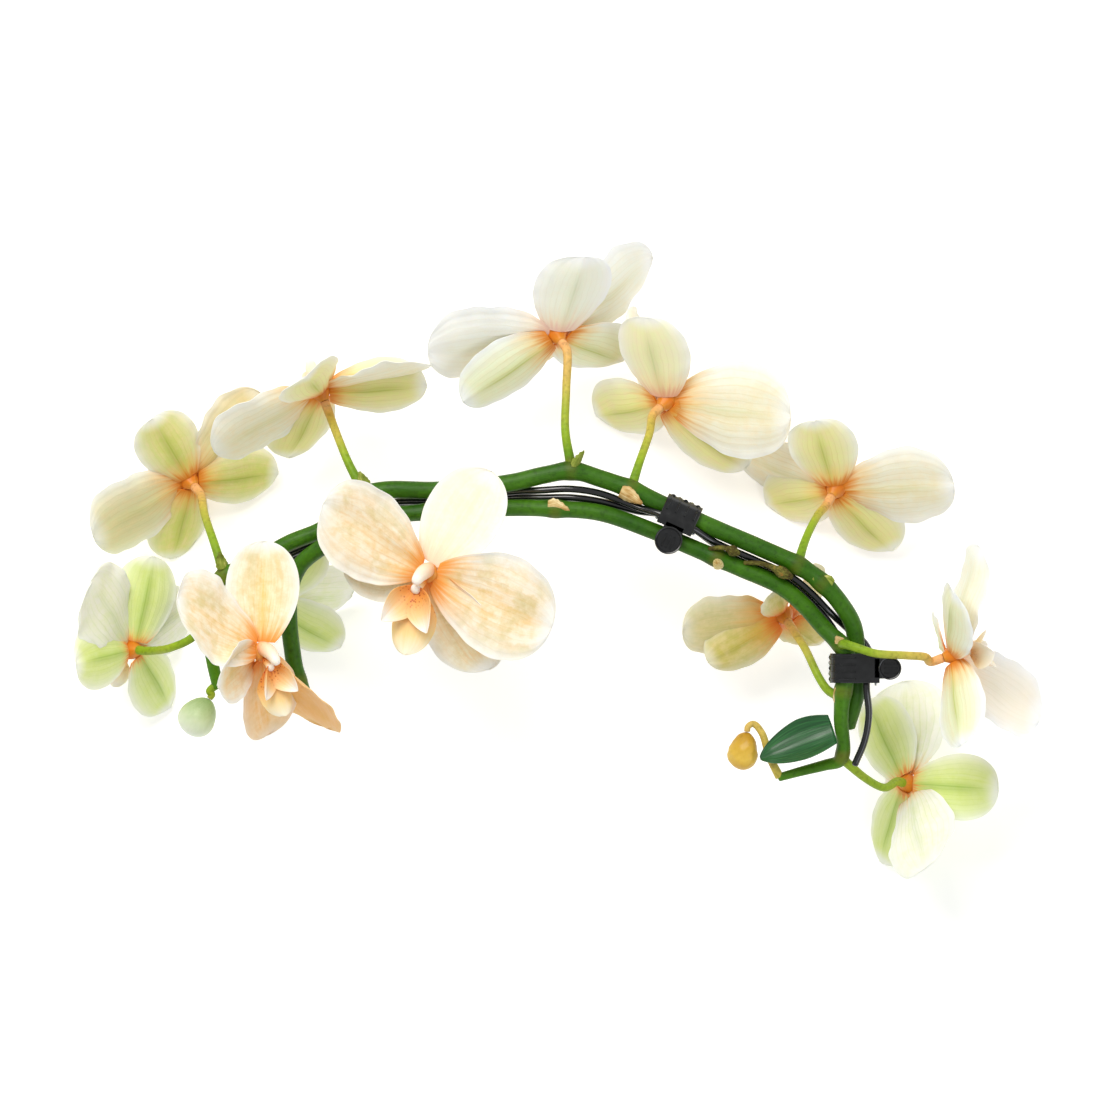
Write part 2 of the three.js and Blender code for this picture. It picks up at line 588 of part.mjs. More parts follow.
// Side view of the claw plate: over the bundle in an arc, to the teeth just short of the middle plane.
function clawOutline(reach, height, squareness, drop) {
  const start = 0.2;
  const arc = (grow) => [0, 0.3, 0.55, 0.75, 0.92].map((t) => {
    const y = t * (reach - start);
    return [start + y + grow * t ** 2, (height + grow) * (1 - t ** squareness) ** (1 / squareness)];
  });
  const inner = [...arc(0), [reach, drop]];
  const outer = [...arc(plateThickness), [reach + plateThickness, drop]];
  const shape = new THREE.Shape();
  shape.moveTo(-1.1, height);
  inner.forEach(([y, z]) => shape.lineTo(y, z));
  outer.reverse().forEach(([y, z]) => shape.lineTo(y, z));
  shape.lineTo(-1.1, height + plateThickness);
  return shape;
}

// A flat outline in the Y-Z plane made as thick as asked along X, from `from`.
function alongPin(shape, from, thickness) {
  const [x, y, z] = [[1, 0, 0], [0, 1, 0], [0, 0, 1]].map(vector);
  const matrix = new THREE.Matrix4().makeBasis(y, z, x).setPosition(from, 0, 0);
  const options = { depth: thickness, bevelEnabled: false, steps: 1, curveSegments: 4 };
  return new THREE.ExtrudeGeometry(shape, options).applyMatrix4(matrix);
}

function knuckle(from, thickness, height) {
  const top = height + plateThickness * 0.36;
  const lug = new THREE.Shape();
  lug.moveTo(-knuckleRadius, 0);
  lug.lineTo(knuckleRadius * 0.86, -knuckleRadius * 0.08);
  lug.lineTo(lugInset, lugRise);
  lug.lineTo(lugInset, top);
  lug.lineTo(-knuckleRadius, top);
  const barrel = new THREE.Shape();
  barrel.absarc(0, 0, knuckleRadius, 0, 2 * Math.PI);
  return [alongPin(lug, from, thickness), alongPin(barrel, from, thickness)];
}

function thumbTab(height, radius) {
  const middle = height + tabThickness / 2;
  const centre = -(radius + 0.7);
  const plate = new THREE.CylinderGeometry(radius, radius - 0.5, tabThickness, 10)
    .rotateX(Math.PI / 2)
    .translate(0, centre, middle + 0.25);
  const neck = new THREE.BoxGeometry(tabNeck.width, tabNeck.reach, tabThickness)
    .translate(0, tabNeck.centre, middle);
  const rib = new THREE.BoxGeometry(tabRib.width, tabRib.reach, tabRib.height)
    .translate(0, centre - 0.2, height + tabThickness + 0.5);
  return [plate, neck, rib];
}

function jawSolid({ width, reach, height, squareness, tab }, toothPlaces, knucklePlaces) {
  const tip = 0.5;
  const plate = alongPin(clawOutline(reach, height, squareness, tip), -width / 2, width);
  const teeth = toothPlaces.map((x) => new THREE.CylinderGeometry(toothFoot, toothTip, toothReach + 1, 5)
    .rotateX(-Math.PI / 2)
    .translate(x, reach + plateThickness / 2, tip - toothReach / 2 + 0.5));
  const lugs = knucklePlaces.flatMap(([from, to]) => knuckle(from, to - from, height));
  const bore = alongPin(new THREE.Shape().absarc(0, 0, pinHole, 0, 2 * Math.PI), -width, 2 * width);
  return fuse([plate, ...teeth, ...lugs, ...thumbTab(height, tab)]).subtract(toSolid(bore));
}

// The pin with its spring wound round the middle
function pinGeometry(width) {
  const end = width / 2 + 0.8;
  const coil = (z) => [
    [pinRadius, z - 0.38], [coilRadius, z - 0.2], [coilRadius, z + 0.2], [pinRadius, z + 0.38],
  ];
  const profile = [[0, -end], [pinRadius, -end], ...coilPlaces.flatMap(coil), [pinRadius, end], [0, end]];
  const outline = profile.map(([radius, z]) => new THREE.Vector2(radius, z));
  return new THREE.LatheGeometry(outline, 5).rotateZ(Math.PI / 2);
}

function clip(name, form, pin, alongSpike, towardClaws) {
  const holder = new THREE.Group();
  const x = vector(alongSpike).normalize();
  const z = x.clone().cross(vector(towardClaws)).normalize();
  const y = z.clone().cross(x);
  holder.applyMatrix4(new THREE.Matrix4().makeBasis(x, y, z).setPosition(vector(pin)));
  const toothStep = form.width * toothSpread;
  const inner = form.width * innerKnuckle;
  const outer = form.width / 2;
  const frontKnuckles = [[-inner, -inner + knuckleLength], [inner - knuckleLength, inner]];
  const backKnuckles = [[-outer, -inner - seatGap], [inner + seatGap, outer]];
  const frontJaw = jawSolid(form, [-toothStep, 0, toothStep], frontKnuckles);
  const backJaw = jawSolid(form, [-toothStep / 2, toothStep / 2], backKnuckles).mirror([0, 0, 1]);
  place(`${name}_jaw`, frontJaw, materials.clip, holder);
  place(`${name}_base`, backJaw, materials.clip, holder);
  place(`${name}_pin`, pinGeometry(form.width), materials.steel, holder);
  group.add(holder);
}

// Where the part rests, the lowest blades are pressed flat on the surface.
const surfaceBlock = toSolid(new THREE.BoxGeometry(600, 600, 100).translate(0, 0, -50));

place('spike_upper', upperSpikeSolid(), materials.spike);
place('spike_lower', lowerSpikeSolid(), materials.spike);
for (const [name, bloom] of Object.entries(blooms)) {
  const turned = bloomSolid(bloom).transform(bloomMatrix(bloom).toArray());
  const lip = lipSolid(bloom).transform(bloomMatrix(bloom).toArray());
  place(name, turned.subtract(surfaceBlock), materials[bloom.tint]);
  place(name.replace('bloom', 'lip'), lip, materials.lip);
}
const greenBud = budGeometry(greenBudLength, greenBudWidth, budSeams, 0.04, 0);
const yellowBud = budGeometry(yellowBudLength, yellowBudWidth, budSeams, 0.06, 0.05);
place('bud_green', turnedTo(greenBud, buds.green), materials.bud);
place('bud_yellow', turnedTo(yellowBud, buds.yellow), materials.witheredBud);
place('leaf', leafGeometry(), materials.leaf);
place('wire_outer', wireRod(outerWire), materials.wire);
place('wire_inner', wireRod(innerWire), materials.wire);
const archClip = { width: 12.6, reach: 8.2, height: 5.2, squareness: 2, tab: 4.7 };
const footClip = { width: 10, reach: 14.6, height: 6.6, squareness: 3.4, tab: 3.9 };
clip('clip_arch', archClip, [40.2, 11.9, 58], [0.912, -0.41, 0], [0.41, 0.912, 0]);
clip('clip_foot', footClip, [108.4, -36.4, 57], [0, 1, 0], [-1, 0, 0]);

export default group;
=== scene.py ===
# Moth orchid stem lying on a pale surface, looked down on: two flower spikes, support wires, claw clips.
import math
import bmesh
import bpy
import numpy as np
from mathutils import Matrix, Vector


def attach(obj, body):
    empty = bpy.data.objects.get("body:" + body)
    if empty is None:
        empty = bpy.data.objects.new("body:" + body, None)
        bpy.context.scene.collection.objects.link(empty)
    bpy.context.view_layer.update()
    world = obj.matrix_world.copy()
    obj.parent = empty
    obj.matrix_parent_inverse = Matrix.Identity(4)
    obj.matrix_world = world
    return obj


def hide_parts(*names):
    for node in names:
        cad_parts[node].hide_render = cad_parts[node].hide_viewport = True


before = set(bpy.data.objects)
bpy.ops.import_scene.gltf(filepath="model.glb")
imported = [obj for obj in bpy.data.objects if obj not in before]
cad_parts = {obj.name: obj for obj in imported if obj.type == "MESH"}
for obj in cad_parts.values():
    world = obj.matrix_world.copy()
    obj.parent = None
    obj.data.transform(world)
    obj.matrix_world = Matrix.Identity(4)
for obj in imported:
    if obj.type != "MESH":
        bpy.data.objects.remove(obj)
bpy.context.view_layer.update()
mm = 0.001  # all sizes below are in millimetres, Blender works in metres

# The view, from straight above through a long lens
view = {"lens": 600, "sensor": 36, "across": 374, "centre": (-2.2, 3.7), "middleHeight": 45}
cameraData = bpy.data.cameras.new("camera")
cameraData.lens = view["lens"]
cameraData.sensor_width = view["sensor"]
cameraData.clip_end = 20
camera = bpy.data.objects.new("camera", cameraData)
camera.location = Vector((*view["centre"], view["middleHeight"]
                          + view["across"] * view["lens"] / view["sensor"])) * mm
bpy.context.scene.collection.objects.link(camera)
bpy.context.scene.camera = camera

# Soft studio light: a wide panel above the outside of the arch, a weaker one opposite, and an even surround
studio = {"surround": 0.52, "surroundColour": "#ffffff",
          "panels": [("keyPanel", (-450, 950, 1400), 1000, 23, "#fffcf7"),
                     ("fillPanel", (900, -700, 1200), 900, 5, "#f2f6ff")]}


def hexColour(code):
    channels = [int(code[i:i + 2], 16) / 255 for i in (1, 3, 5)]
    return tuple(c / 12.92 if c <= 0.04045 else ((c + 0.055) / 1.055) ** 2.4 for c in channels) + (1.0,)


world = bpy.data.worlds.new("studioSurround")
world.use_nodes = True
world.node_tree.nodes["Background"].inputs["Color"].default_value = hexColour(studio["surroundColour"])
world.node_tree.nodes["Background"].inputs["Strength"].default_value = studio["surround"]
bpy.context.scene.world = world
# Colours are shown as they are, so white card stays white
bpy.context.scene.view_settings.view_transform = "Standard"
for panelName, place, width, power, colour in studio["panels"]:
    light = bpy.data.lights.new(panelName, "AREA")
    light.size = width * mm
    light.energy = power
    light.color = hexColour(colour)[:3]
    panel = bpy.data.objects.new(panelName, light)
    panel.location = Vector(place) * mm
    panel.rotation_euler = (Vector((0, 0, 0)) - panel.location).to_track_quat("-Z", "Y").to_euler()
    bpy.context.scene.collection.objects.link(panel)


# An input is a plain value, or the socket or node that feeds it.
def setInputs(tree, node, inputs):
    for key, value in inputs.items():
        if isinstance(value, bpy.types.Node):
            value = value.outputs[0]
        if isinstance(value, bpy.types.NodeSocket):
            tree.links.new(value, node.inputs[key])
        else:
            node.inputs[key].default_value = value


# Adds one node; a setting is a property of the node, and the stops are those of its colour ramp.
def addNode(tree, kind, settings=None, inputs=None):
    node = tree.nodes.new("ShaderNode" + kind)
    for key, value in (settings or {}).items():
        if key == "stops":
            while len(node.color_ramp.elements) < len(value):
                node.color_ramp.elements.new(1.0)
            for element, (position, code) in zip(node.color_ramp.elements, value):
                element.position = position
                element.color = hexColour(code)
        else:
            setattr(node, key, value)
    setInputs(tree, node, inputs or {})
    return node


# A material with its plain values set on the shader itself
def newFinish(name, values):
    finish = bpy.data.materials.new(name)
    finish.use_nodes = True
    surface = finish.node_tree.nodes["Principled BSDF"]
    setInputs(finish.node_tree, surface, values)
    return finish, finish.node_tree, surface


# Settings that many nodes share
smooth = {"interpolation_type": "SMOOTHSTEP"}
times = {"operation": "MULTIPLY"}
timesPlus = {"operation": "MULTIPLY_ADD"}
plainMix = {"data_type": "FLOAT"}
colourMix = {"data_type": "RGBA"}
bumpDepth = 0.0003  # metres, how far painted relief seems to stand out
print("view and light ready")

# Floor: matt white card, which reads as an even white ground
floorReach = 3.0  # metres each way from the middle
floorCoat = {"Base Color": hexColour("#fbfbfa"), "Roughness": 0.9, "Emission Color": hexColour("#ffffff"),
             "Emission Strength": 0.3}
corners = [(x * floorReach, y * floorReach, 0) for x, y in ((-1, -1), (1, -1), (1, 1), (-1, 1))]
floorMesh = bpy.data.meshes.new("floorCard")
floorMesh.from_pydata(corners, [], [(0, 1, 2, 3)])
floorCard = bpy.data.objects.new("floorCard", floorMesh)
bpy.context.scene.collection.objects.link(floorCard)
floorMesh.materials.append(newFinish("matt white card", floorCoat)[0])

# Petals. Living petal tissue: a thin watery sheet of dome-shaped cells, so light sinks in and comes back
# soft, and the face has a velvety sheen with no hard gloss. Cells are about 0.04 mm; they are drawn 20 times
# as coarse to show.
petalTissue = {"Roughness": 0.52, "IOR": 1.38, "Subsurface Weight": 0.16, "Subsurface Scale": 0.0015,
               "Subsurface Radius": (1.0, 0.8, 0.55), "Sheen Weight": 0.12, "Sheen Roughness": 0.4,
               "Specular IOR Level": 0.35}
petalGrain = {"cellMm": 0.8, "cloudMm": 9.0, "veinsAcross": 13, "veinWander": 3.4, "veinStrength": 0.24,
              "blotchMm": 3.2}


def petalFinish(name, tones):
    finish, tree, surface = newFinish(name, petalTissue)
    lay = addNode(tree, "Attribute", {"attribute_name": "lay"}).outputs["Vector"]
    marks = {key: addNode(tree, "Attribute", {"attribute_name": key}).outputs["Fac"]
             for key in ("front", "sepal", "rim", "pale", "amber")}
    split = addNode(tree, "SeparateXYZ", {}, {0: lay})
    across, along = split.outputs[0], split.outputs[1]
    drawn = addNode(tree, "Mapping", {}, {"Vector": lay, "Scale": (9.0, 1.7, 1.0)})
    streaks = addNode(tree, "TexNoise", {}, {"Vector": drawn, "Scale": 1.0, "Detail": 4.0, "Roughness": 0.6})
    place = addNode(tree, "TexCoord").outputs["Object"]
    clouds = addNode(tree, "TexNoise", {}, {"Vector": place, "Scale": 1000 / petalGrain["cloudMm"],
                                            "Detail": 2.0})
    blotches = addNode(tree, "TexNoise", {}, {"Vector": place, "Scale": 1000 / petalGrain["blotchMm"],
                                              "Detail": 4.0, "Roughness": 0.65})
    cells = addNode(tree, "TexNoise", {}, {"Vector": place, "Scale": 1000 / petalGrain["cellMm"],
                                           "Detail": 1.0})

    # Veins run lengthwise and fan from the foot, so each keeps its share of the width
    wander = addNode(tree, "Math", times, {0: clouds, 1: petalGrain["veinWander"]})
    turn = addNode(tree, "Math", timesPlus,
                   {0: across, 1: petalGrain["veinsAcross"] * math.pi / 2, 2: wander})
    wave = addNode(tree, "Math", {"operation": "SINE"}, {0: turn})
    line = addNode(tree, "Math", {"operation": "ABSOLUTE"}, {0: wave})
    vein = addNode(tree, "MapRange", smooth, {0: line, 1: 0.0, 2: 0.42, 3: 1.0, 4: 0.0})
    veinFade = addNode(tree, "MapRange", {}, {0: along, 1: 0.35, 2: 1.0, 3: petalGrain["veinStrength"],
                                              4: 0.04})
    veinMask = addNode(tree, "Math", times, {0: vein, 1: veinFade})

    # Rib: a band along the middle, clearest on the backs of the sepals
    middle = addNode(tree, "Math", {"operation": "ABSOLUTE"}, {0: across})
    ribBand = addNode(tree, "MapRange", smooth, {0: middle, 1: 0.0, 2: 0.3, 3: 0.6, 4: 0.0})
    ribLine = addNode(tree, "MapRange", smooth, {0: middle, 1: 0.0, 2: 0.07, 3: 1.0, 4: 0.0})
    ribBoth = addNode(tree, "Math", {"operation": "MAXIMUM"}, {0: ribBand, 1: ribLine})
    ribEnds = addNode(tree, "MapRange", smooth, {0: along, 1: 0.98, 2: 0.55, 3: 0.0, 4: 1.0})
    ribStart = addNode(tree, "Math", times, {0: ribBoth, 1: ribEnds})
    ribSide = addNode(tree, "MapRange", {}, {0: marks["front"], 1: 0.0, 2: 1.0, 3: tones["ribBack"],
                                             4: tones["ribFront"]})
    ribKind = addNode(tree, "MapRange", {}, {0: marks["sepal"], 1: 0.0, 2: 1.0, 3: 0.4, 4: 1.0})
    ribShare = addNode(tree, "Math", times, {0: ribSide, 1: ribKind})
    ribMask = addNode(tree, "Math", times, {0: ribStart, 1: ribShare})

    # Heart: deep colour at the foot that runs out along the streaks
    ragged = addNode(tree, "Math", timesPlus, {0: streaks, 1: -0.3, 2: along})
    glow = addNode(tree, "MapRange", smooth,
                   {0: ragged, 1: tones["glowReach"] - 0.15, 2: -0.17, 3: 0.0, 4: tones["glow"]})
    heart = addNode(tree, "MapRange", smooth,
                    {0: ragged, 1: tones["heartReach"] - 0.15, 2: -0.16, 3: 0.0, 4: tones["heart"]})

    # Warm flushes and greyer blotches, a few millimetres across
    washed = addNode(tree, "Mix", plainMix, {0: 0.55, 2: streaks, 3: blotches})
    flush = addNode(tree, "MapRange", {}, {0: washed, 1: 0.42, 2: 0.62, 3: 0.0, 4: tones["flush"]})
    smoked = addNode(tree, "Mix", plainMix, {0: 0.35, 2: clouds, 3: blotches})
    mottle = addNode(tree, "MapRange", {}, {0: smoked, 1: 0.48, 2: 0.64, 3: 0.0, 4: tones["mottle"]})
    # Rim: edges and tips painted near-white, a painted highlight for the bright rim that light gives the thin
    # edges, which also lifts the shade on the edge-on rims
    paintedRimLightMask = addNode(tree, "Math", times, {0: marks["rim"], 1: tones["rim"]})

    # Ground colours of the two faces, then each marking laid over them in its turn
    backs = addNode(tree, "Mix", colourMix, {0: marks["sepal"], 6: hexColour(tones["petalBack"]),
                                             7: hexColour(tones["sepalBack"])})
    fronts = addNode(tree, "Mix", colourMix, {0: marks["sepal"], 6: hexColour(tones["petalFront"]),
                                              7: hexColour(tones["sepalFront"])})
    colour = addNode(tree, "Mix", colourMix, {0: marks["front"], 6: backs.outputs[2],
                                              7: fronts.outputs[2]}).outputs[2]
    layers = {"flush": flush, "mottle": mottle, "rib": ribMask, "vein": veinMask, "rim": paintedRimLightMask,
              "amber": marks["amber"], "glow": glow, "heart": heart, "pale": marks["pale"]}
    for key, mask in layers.items():
        colour = addNode(tree, "Mix", colourMix, {0: mask, 6: colour,
                                                  7: hexColour(tones[key + "Colour"])}).outputs[2]

    relief = addNode(tree, "Math", timesPlus, {0: vein, 1: 0.5, 2: cells})
    bump = addNode(tree, "Bump", {}, {"Height": relief, "Strength": 0.16, "Distance": bumpDepth})
    setInputs(tree, surface, {"Base Color": colour, "Normal": bump})
    return finish


# Tones of the blooms as the photograph shows them; a bloom lists only what differs from the ivory ones.
# The rim colour and rim strength are a painted highlight: a near-white edge and tip on every blade.
ivoryTones = {
    "petalBack": "#f2eed6", "sepalBack": "#ecea9e", "petalFront": "#f6e4c0", "sepalFront": "#f3e2b6",
    "ribBack": 0.7, "ribFront": 0.25, "ribColour": "#b2bc3e", "flush": 0.35, "flushColour": "#f8dcae",
    "mottle": 0.25, "mottleColour": "#e9dfae", "veinColour": "#c4b052", "rim": 0.85, "rimColour": "#f5f7f2",
    "amberColour": "#d99440", "paleColour": "#fcfcfa",
    "glowReach": 0.4, "glow": 0.8, "glowColour": "#f3be5e", "heartReach": 0.17, "heart": 0.95,
    "heartColour": "#dc7c10"}
bloomTones = {
    "creamBloom": {"petalBack": "#e2deb0", "sepalBack": "#d6da7e", "ribColour": "#a0b030",
                   "glowColour": "#eeb052"},
    "ivoryBloom": {},
    "oliveBloom": {"petalBack": "#d2c98a", "sepalBack": "#cabf62", "ribColour": "#b0a83c", "rim": 0.5,
                   "glowReach": 0.62, "glow": 0.9, "glowColour": "#e8a842", "heartReach": 0.26,
                   "heartColour": "#e67418"},
    "whiteBloom": {"petalBack": "#eff4e4", "sepalBack": "#ecf2cc", "petalFront": "#f6e8cc",
                   "rimColour": "#f6fafc", "mottle": 0.1, "flush": 0.2},
    "peachBloom": {"petalFront": "#f8ead0", "sepalFront": "#f5e8c6", "flushColour": "#f2ca86", "flush": 0.75,
                   "mottle": 0.75, "mottleColour": "#d8ca92", "veinColour": "#d8a84e",
                   "glowColour": "#f4b65c", "glowReach": 0.34, "heartColour": "#ee963c",
                   "ribColour": "#ecc45a", "ribFront": 0.5, "paleColour": "#fffdec",
                   "amberColour": "#f0b048"},
    "greenBloom": {"petalBack": "#f4f4e6", "sepalBack": "#d6e48c", "petalFront": "#eaf0cc",
                   "sepalFront": "#d8e696", "ribColour": "#8fb436", "flushColour": "#e4ecb8",
                   "mottleColour": "#dfe8a8", "veinColour": "#a2c04e", "glowReach": 0.2, "glow": 0.6,
                   "heartReach": 0.08, "heartColour": "#ea9048", "rimColour": "#f4f7ee"},
}
petalFinishes = {name: petalFinish(name, {**ivoryTones, **changes}) for name, changes in bloomTones.items()}
print("petal finishes ready")


# A shape is a list of points in millimetres, its faces, the marks that the finishes read, and a finish
# number.
def shape(points, faces, marks=None, finish=0):
    return {"points": np.asarray(points, float).reshape(-1, 3), "faces": [list(f) for f in faces],
            "marks": marks or {}, "finish": finish}


def moved(form, turn, shift=(0, 0, 0)):
    return {**form, "points": form["points"] @ np.asarray(turn, float).T + np.asarray(shift, float)}


# Joins shapes into one object that rides on a body of the frame and stands for its nodes.
def addPiece(name, shapes, finishes, body, nodes, sharpAngle=None):
    points = np.concatenate([s["points"] for s in shapes])
    faces, finishNumbers, start = [], [], 0
    for s in shapes:
        faces += [[i + start for i in f] for f in s["faces"]]
        finishNumbers += [s["finish"]] * len(s["faces"])
        start += len(s["points"])
    mesh = bpy.data.meshes.new(name)
    mesh.from_pydata((points * mm).tolist(), [], faces)
    for key in sorted({key for s in shapes for key in s["marks"]}):
        wide = any(np.ndim(s["marks"].get(key, 0.0)) == 2 for s in shapes)
        values = [np.broadcast_to(s["marks"].get(key, 0.0),
                                  (len(s["points"]), 3) if wide else (len(s["points"]),)) for s in shapes]
        mark = mesh.attributes.new(key, "FLOAT_VECTOR" if wide else "FLOAT", "POINT")
        mark.data.foreach_set("vector" if wide else "value", np.concatenate(values).ravel())
    for finish in finishes:
        mesh.materials.append(finish)
    mesh.polygons.foreach_set("material_index", finishNumbers)
    mesh.polygons.foreach_set("use_smooth", [True] * len(mesh.polygons))
    work = bmesh.new()
    work.from_mesh(mesh)
    bmesh.ops.recalc_face_normals(work, faces=work.faces)
    work.to_mesh(mesh)
    work.free()
    if sharpAngle:
        mesh.set_sharp_from_angle(angle=math.radians(sharpAngle))
    piece = bpy.data.objects.new(name, mesh)
    bpy.context.scene.collection.objects.link(piece)
    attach(piece, body)
    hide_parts(*nodes)


def unit(v):
    return np.asarray(v, float) / np.linalg.norm(v)


def ease(x, low, high):
    t = np.clip((x - low) / (high - low), 0, 1)
    return t * t * (3 - 2 * t)


def turnAbout(axis, degrees):
    return np.array(Matrix.Rotation(math.radians(degrees), 3, axis))


# A smooth centripetal curve through the points, cut into even steps
def smoothPath(points, steps):
    points = [np.asarray(p, float) for p in points]
    ends = [2 * points[0] - points[1], *points, 2 * points[-1] - points[-2]]
    fine = []
    for p0, p1, p2, p3 in zip(ends, ends[1:], ends[2:], ends[3:]):
        d0, d1, d2 = (np.linalg.norm(b - a) ** 0.5 for a, b in ((p0, p1), (p1, p2), (p2, p3)))
        t1 = ((p1 - p0) / d0 - (p2 - p0) / (d0 + d1) + (p2 - p1) / d1) * d1
        t2 = ((p2 - p1) / d1 - (p3 - p1) / (d1 + d2) + (p3 - p2) / d2) * d1
        for t in np.linspace(0, 1, 24, endpoint=False):
            fine.append(p1 + t1 * t + (3 * (p2 - p1) - 2 * t1 - t2) * t ** 2
                        + (2 * (p1 - p2) + t1 + t2) * t ** 3)
    fine = np.array(fine + [points[-1]])
    reached = np.concatenate([[0], np.cumsum(np.linalg.norm(np.diff(fine, axis=0), axis=1))])
    places = np.linspace(0, reached[-1], steps + 1)
    return np.stack([np.interp(places, reached, fine[:, k]) for k in range(3)], 1)


# Faces between rings of points that follow one another, closed at both ends
def wallFaces(rows, sides):
    walls = [[i * sides + j, i * sides + (j + 1) % sides, (i + 1) * sides + (j + 1) % sides,
              (i + 1) * sides + j] for i in range(rows - 1) for j in range(sides)]
    return walls + [list(range(sides))[::-1], [(rows - 1) * sides + j for j in range(sides)]]


# A rod along a path; its radius may change along it and around it, and its ends are rounded over.
rodEnd = [(0.25, 0.0), (0.75, 0.35), (1.0, 1.0)]  # share of the radius, how far in it is reached


def rod(path, radiusAt, sides, marks=None, finish=0, endRound=0.5):
    tangents = np.gradient(path, axis=0)
    tangents /= np.linalg.norm(tangents, axis=1)[:, None]
    normal = unit(np.cross(tangents[0], (0.3, 0.2, 0.93)))
    angles = np.linspace(0, 2 * math.pi, sides, endpoint=False)
    run = np.linspace(0, 1, len(path))
    rings = []
    for u, centre, tangent in zip(run, path, tangents):
        normal = unit(normal - tangent * (normal @ tangent))
        radius = np.broadcast_to(radiusAt(u, centre, angles), (sides,))
        rings.append((centre, tangent, normal, np.cross(tangent, normal), radius))

    def rounded(ring, way):
        centre, tangent, *sideways, radius = ring
        out = way * tangent * radius.mean() * endRound
        return [(centre + out * (1 - k), tangent, *sideways, radius * share) for share, k in rodEnd]

    rings = rounded(rings[0], -1) + rings[1:-1] + rounded(rings[-1], 1)[::-1]
    points = np.array([centre + normal * radius[j] * math.cos(a) + side * radius[j] * math.sin(a)
                       for centre, tangent, normal, side, radius in rings for j, a in enumerate(angles)])
    along = np.repeat([0.0] * len(rodEnd) + list(run[1:-1]) + [1.0] * len(rodEnd), sides)
    around = np.tile(angles / (2 * math.pi), len(rings))
    lengthMm = np.linalg.norm(np.diff(path, axis=0), axis=1).sum()
    lay = np.stack([np.cos(around * 2 * math.pi), along * lengthMm, np.sin(around * 2 * math.pi)], 1)
    return shape(points, wallFaces(len(rings), sides), {"along": along, "lay": lay, **(marks or {})}, finish)


# How every blade is cut: its rows crowd toward the tip and its columns toward the edges.
bladeCut = {"rows": 1.35, "columns": 0.86, "narrowest": 0.4, "rimThins": 0.75, "ribSpread": 0.85}


# Outline of a blade: opens from its narrow foot to its widest place, then closes round the tip.
def halfWidth(form, s):
    s = np.clip(s, 0, 1)
    opening = np.sin(math.pi / 2 * np.minimum(s / form["widest"], 1)) ** form["opening"]
    close = np.clip((s - form["widest"]) / (1 - form["widest"]), 0, 1)
    rounding = (1 - close ** form["tip"]) ** (1 / form["tip"])
    opened = form["foot"] + (1 - form["foot"]) * opening
    half = form["width"] / 2 * np.where(s < form["widest"], opened, rounding)
    return np.maximum(half, bladeCut["narrowest"])


def bladeDepth(form, s, v, half):
    inside = np.clip(s, 0, 1)
    grown = ease(inside, 0.0, 0.25)
    depth = (form["bow"] * s * s * form["length"] + form["cup"] * v * v * half
             + form["wave"] * v * v * np.sin(form["ripples"] * math.pi * s + v)
             - form["keel"] * np.maximum(0, 1 - np.abs(v)) * np.sin(math.pi * inside))
    seed = form.get("seed", 0.0)
    frill = form.get("frill", 0.0) * v ** 4 * np.sin(9 * math.pi * s + 5 * seed + 1.5 * v)
    dents = form.get("dents", 0.0) * np.sin(4.2 * v + 5 * s + 7 * seed) * np.sin(6.5 * s - 2.5 * v + 3 * seed)
    veins = form.get("veinRelief", 0.0) * np.cos(form.get("veins", 9) * math.pi * v) * (1 - 0.5 * inside)
    return depth + grown * (frill + dents + veins)


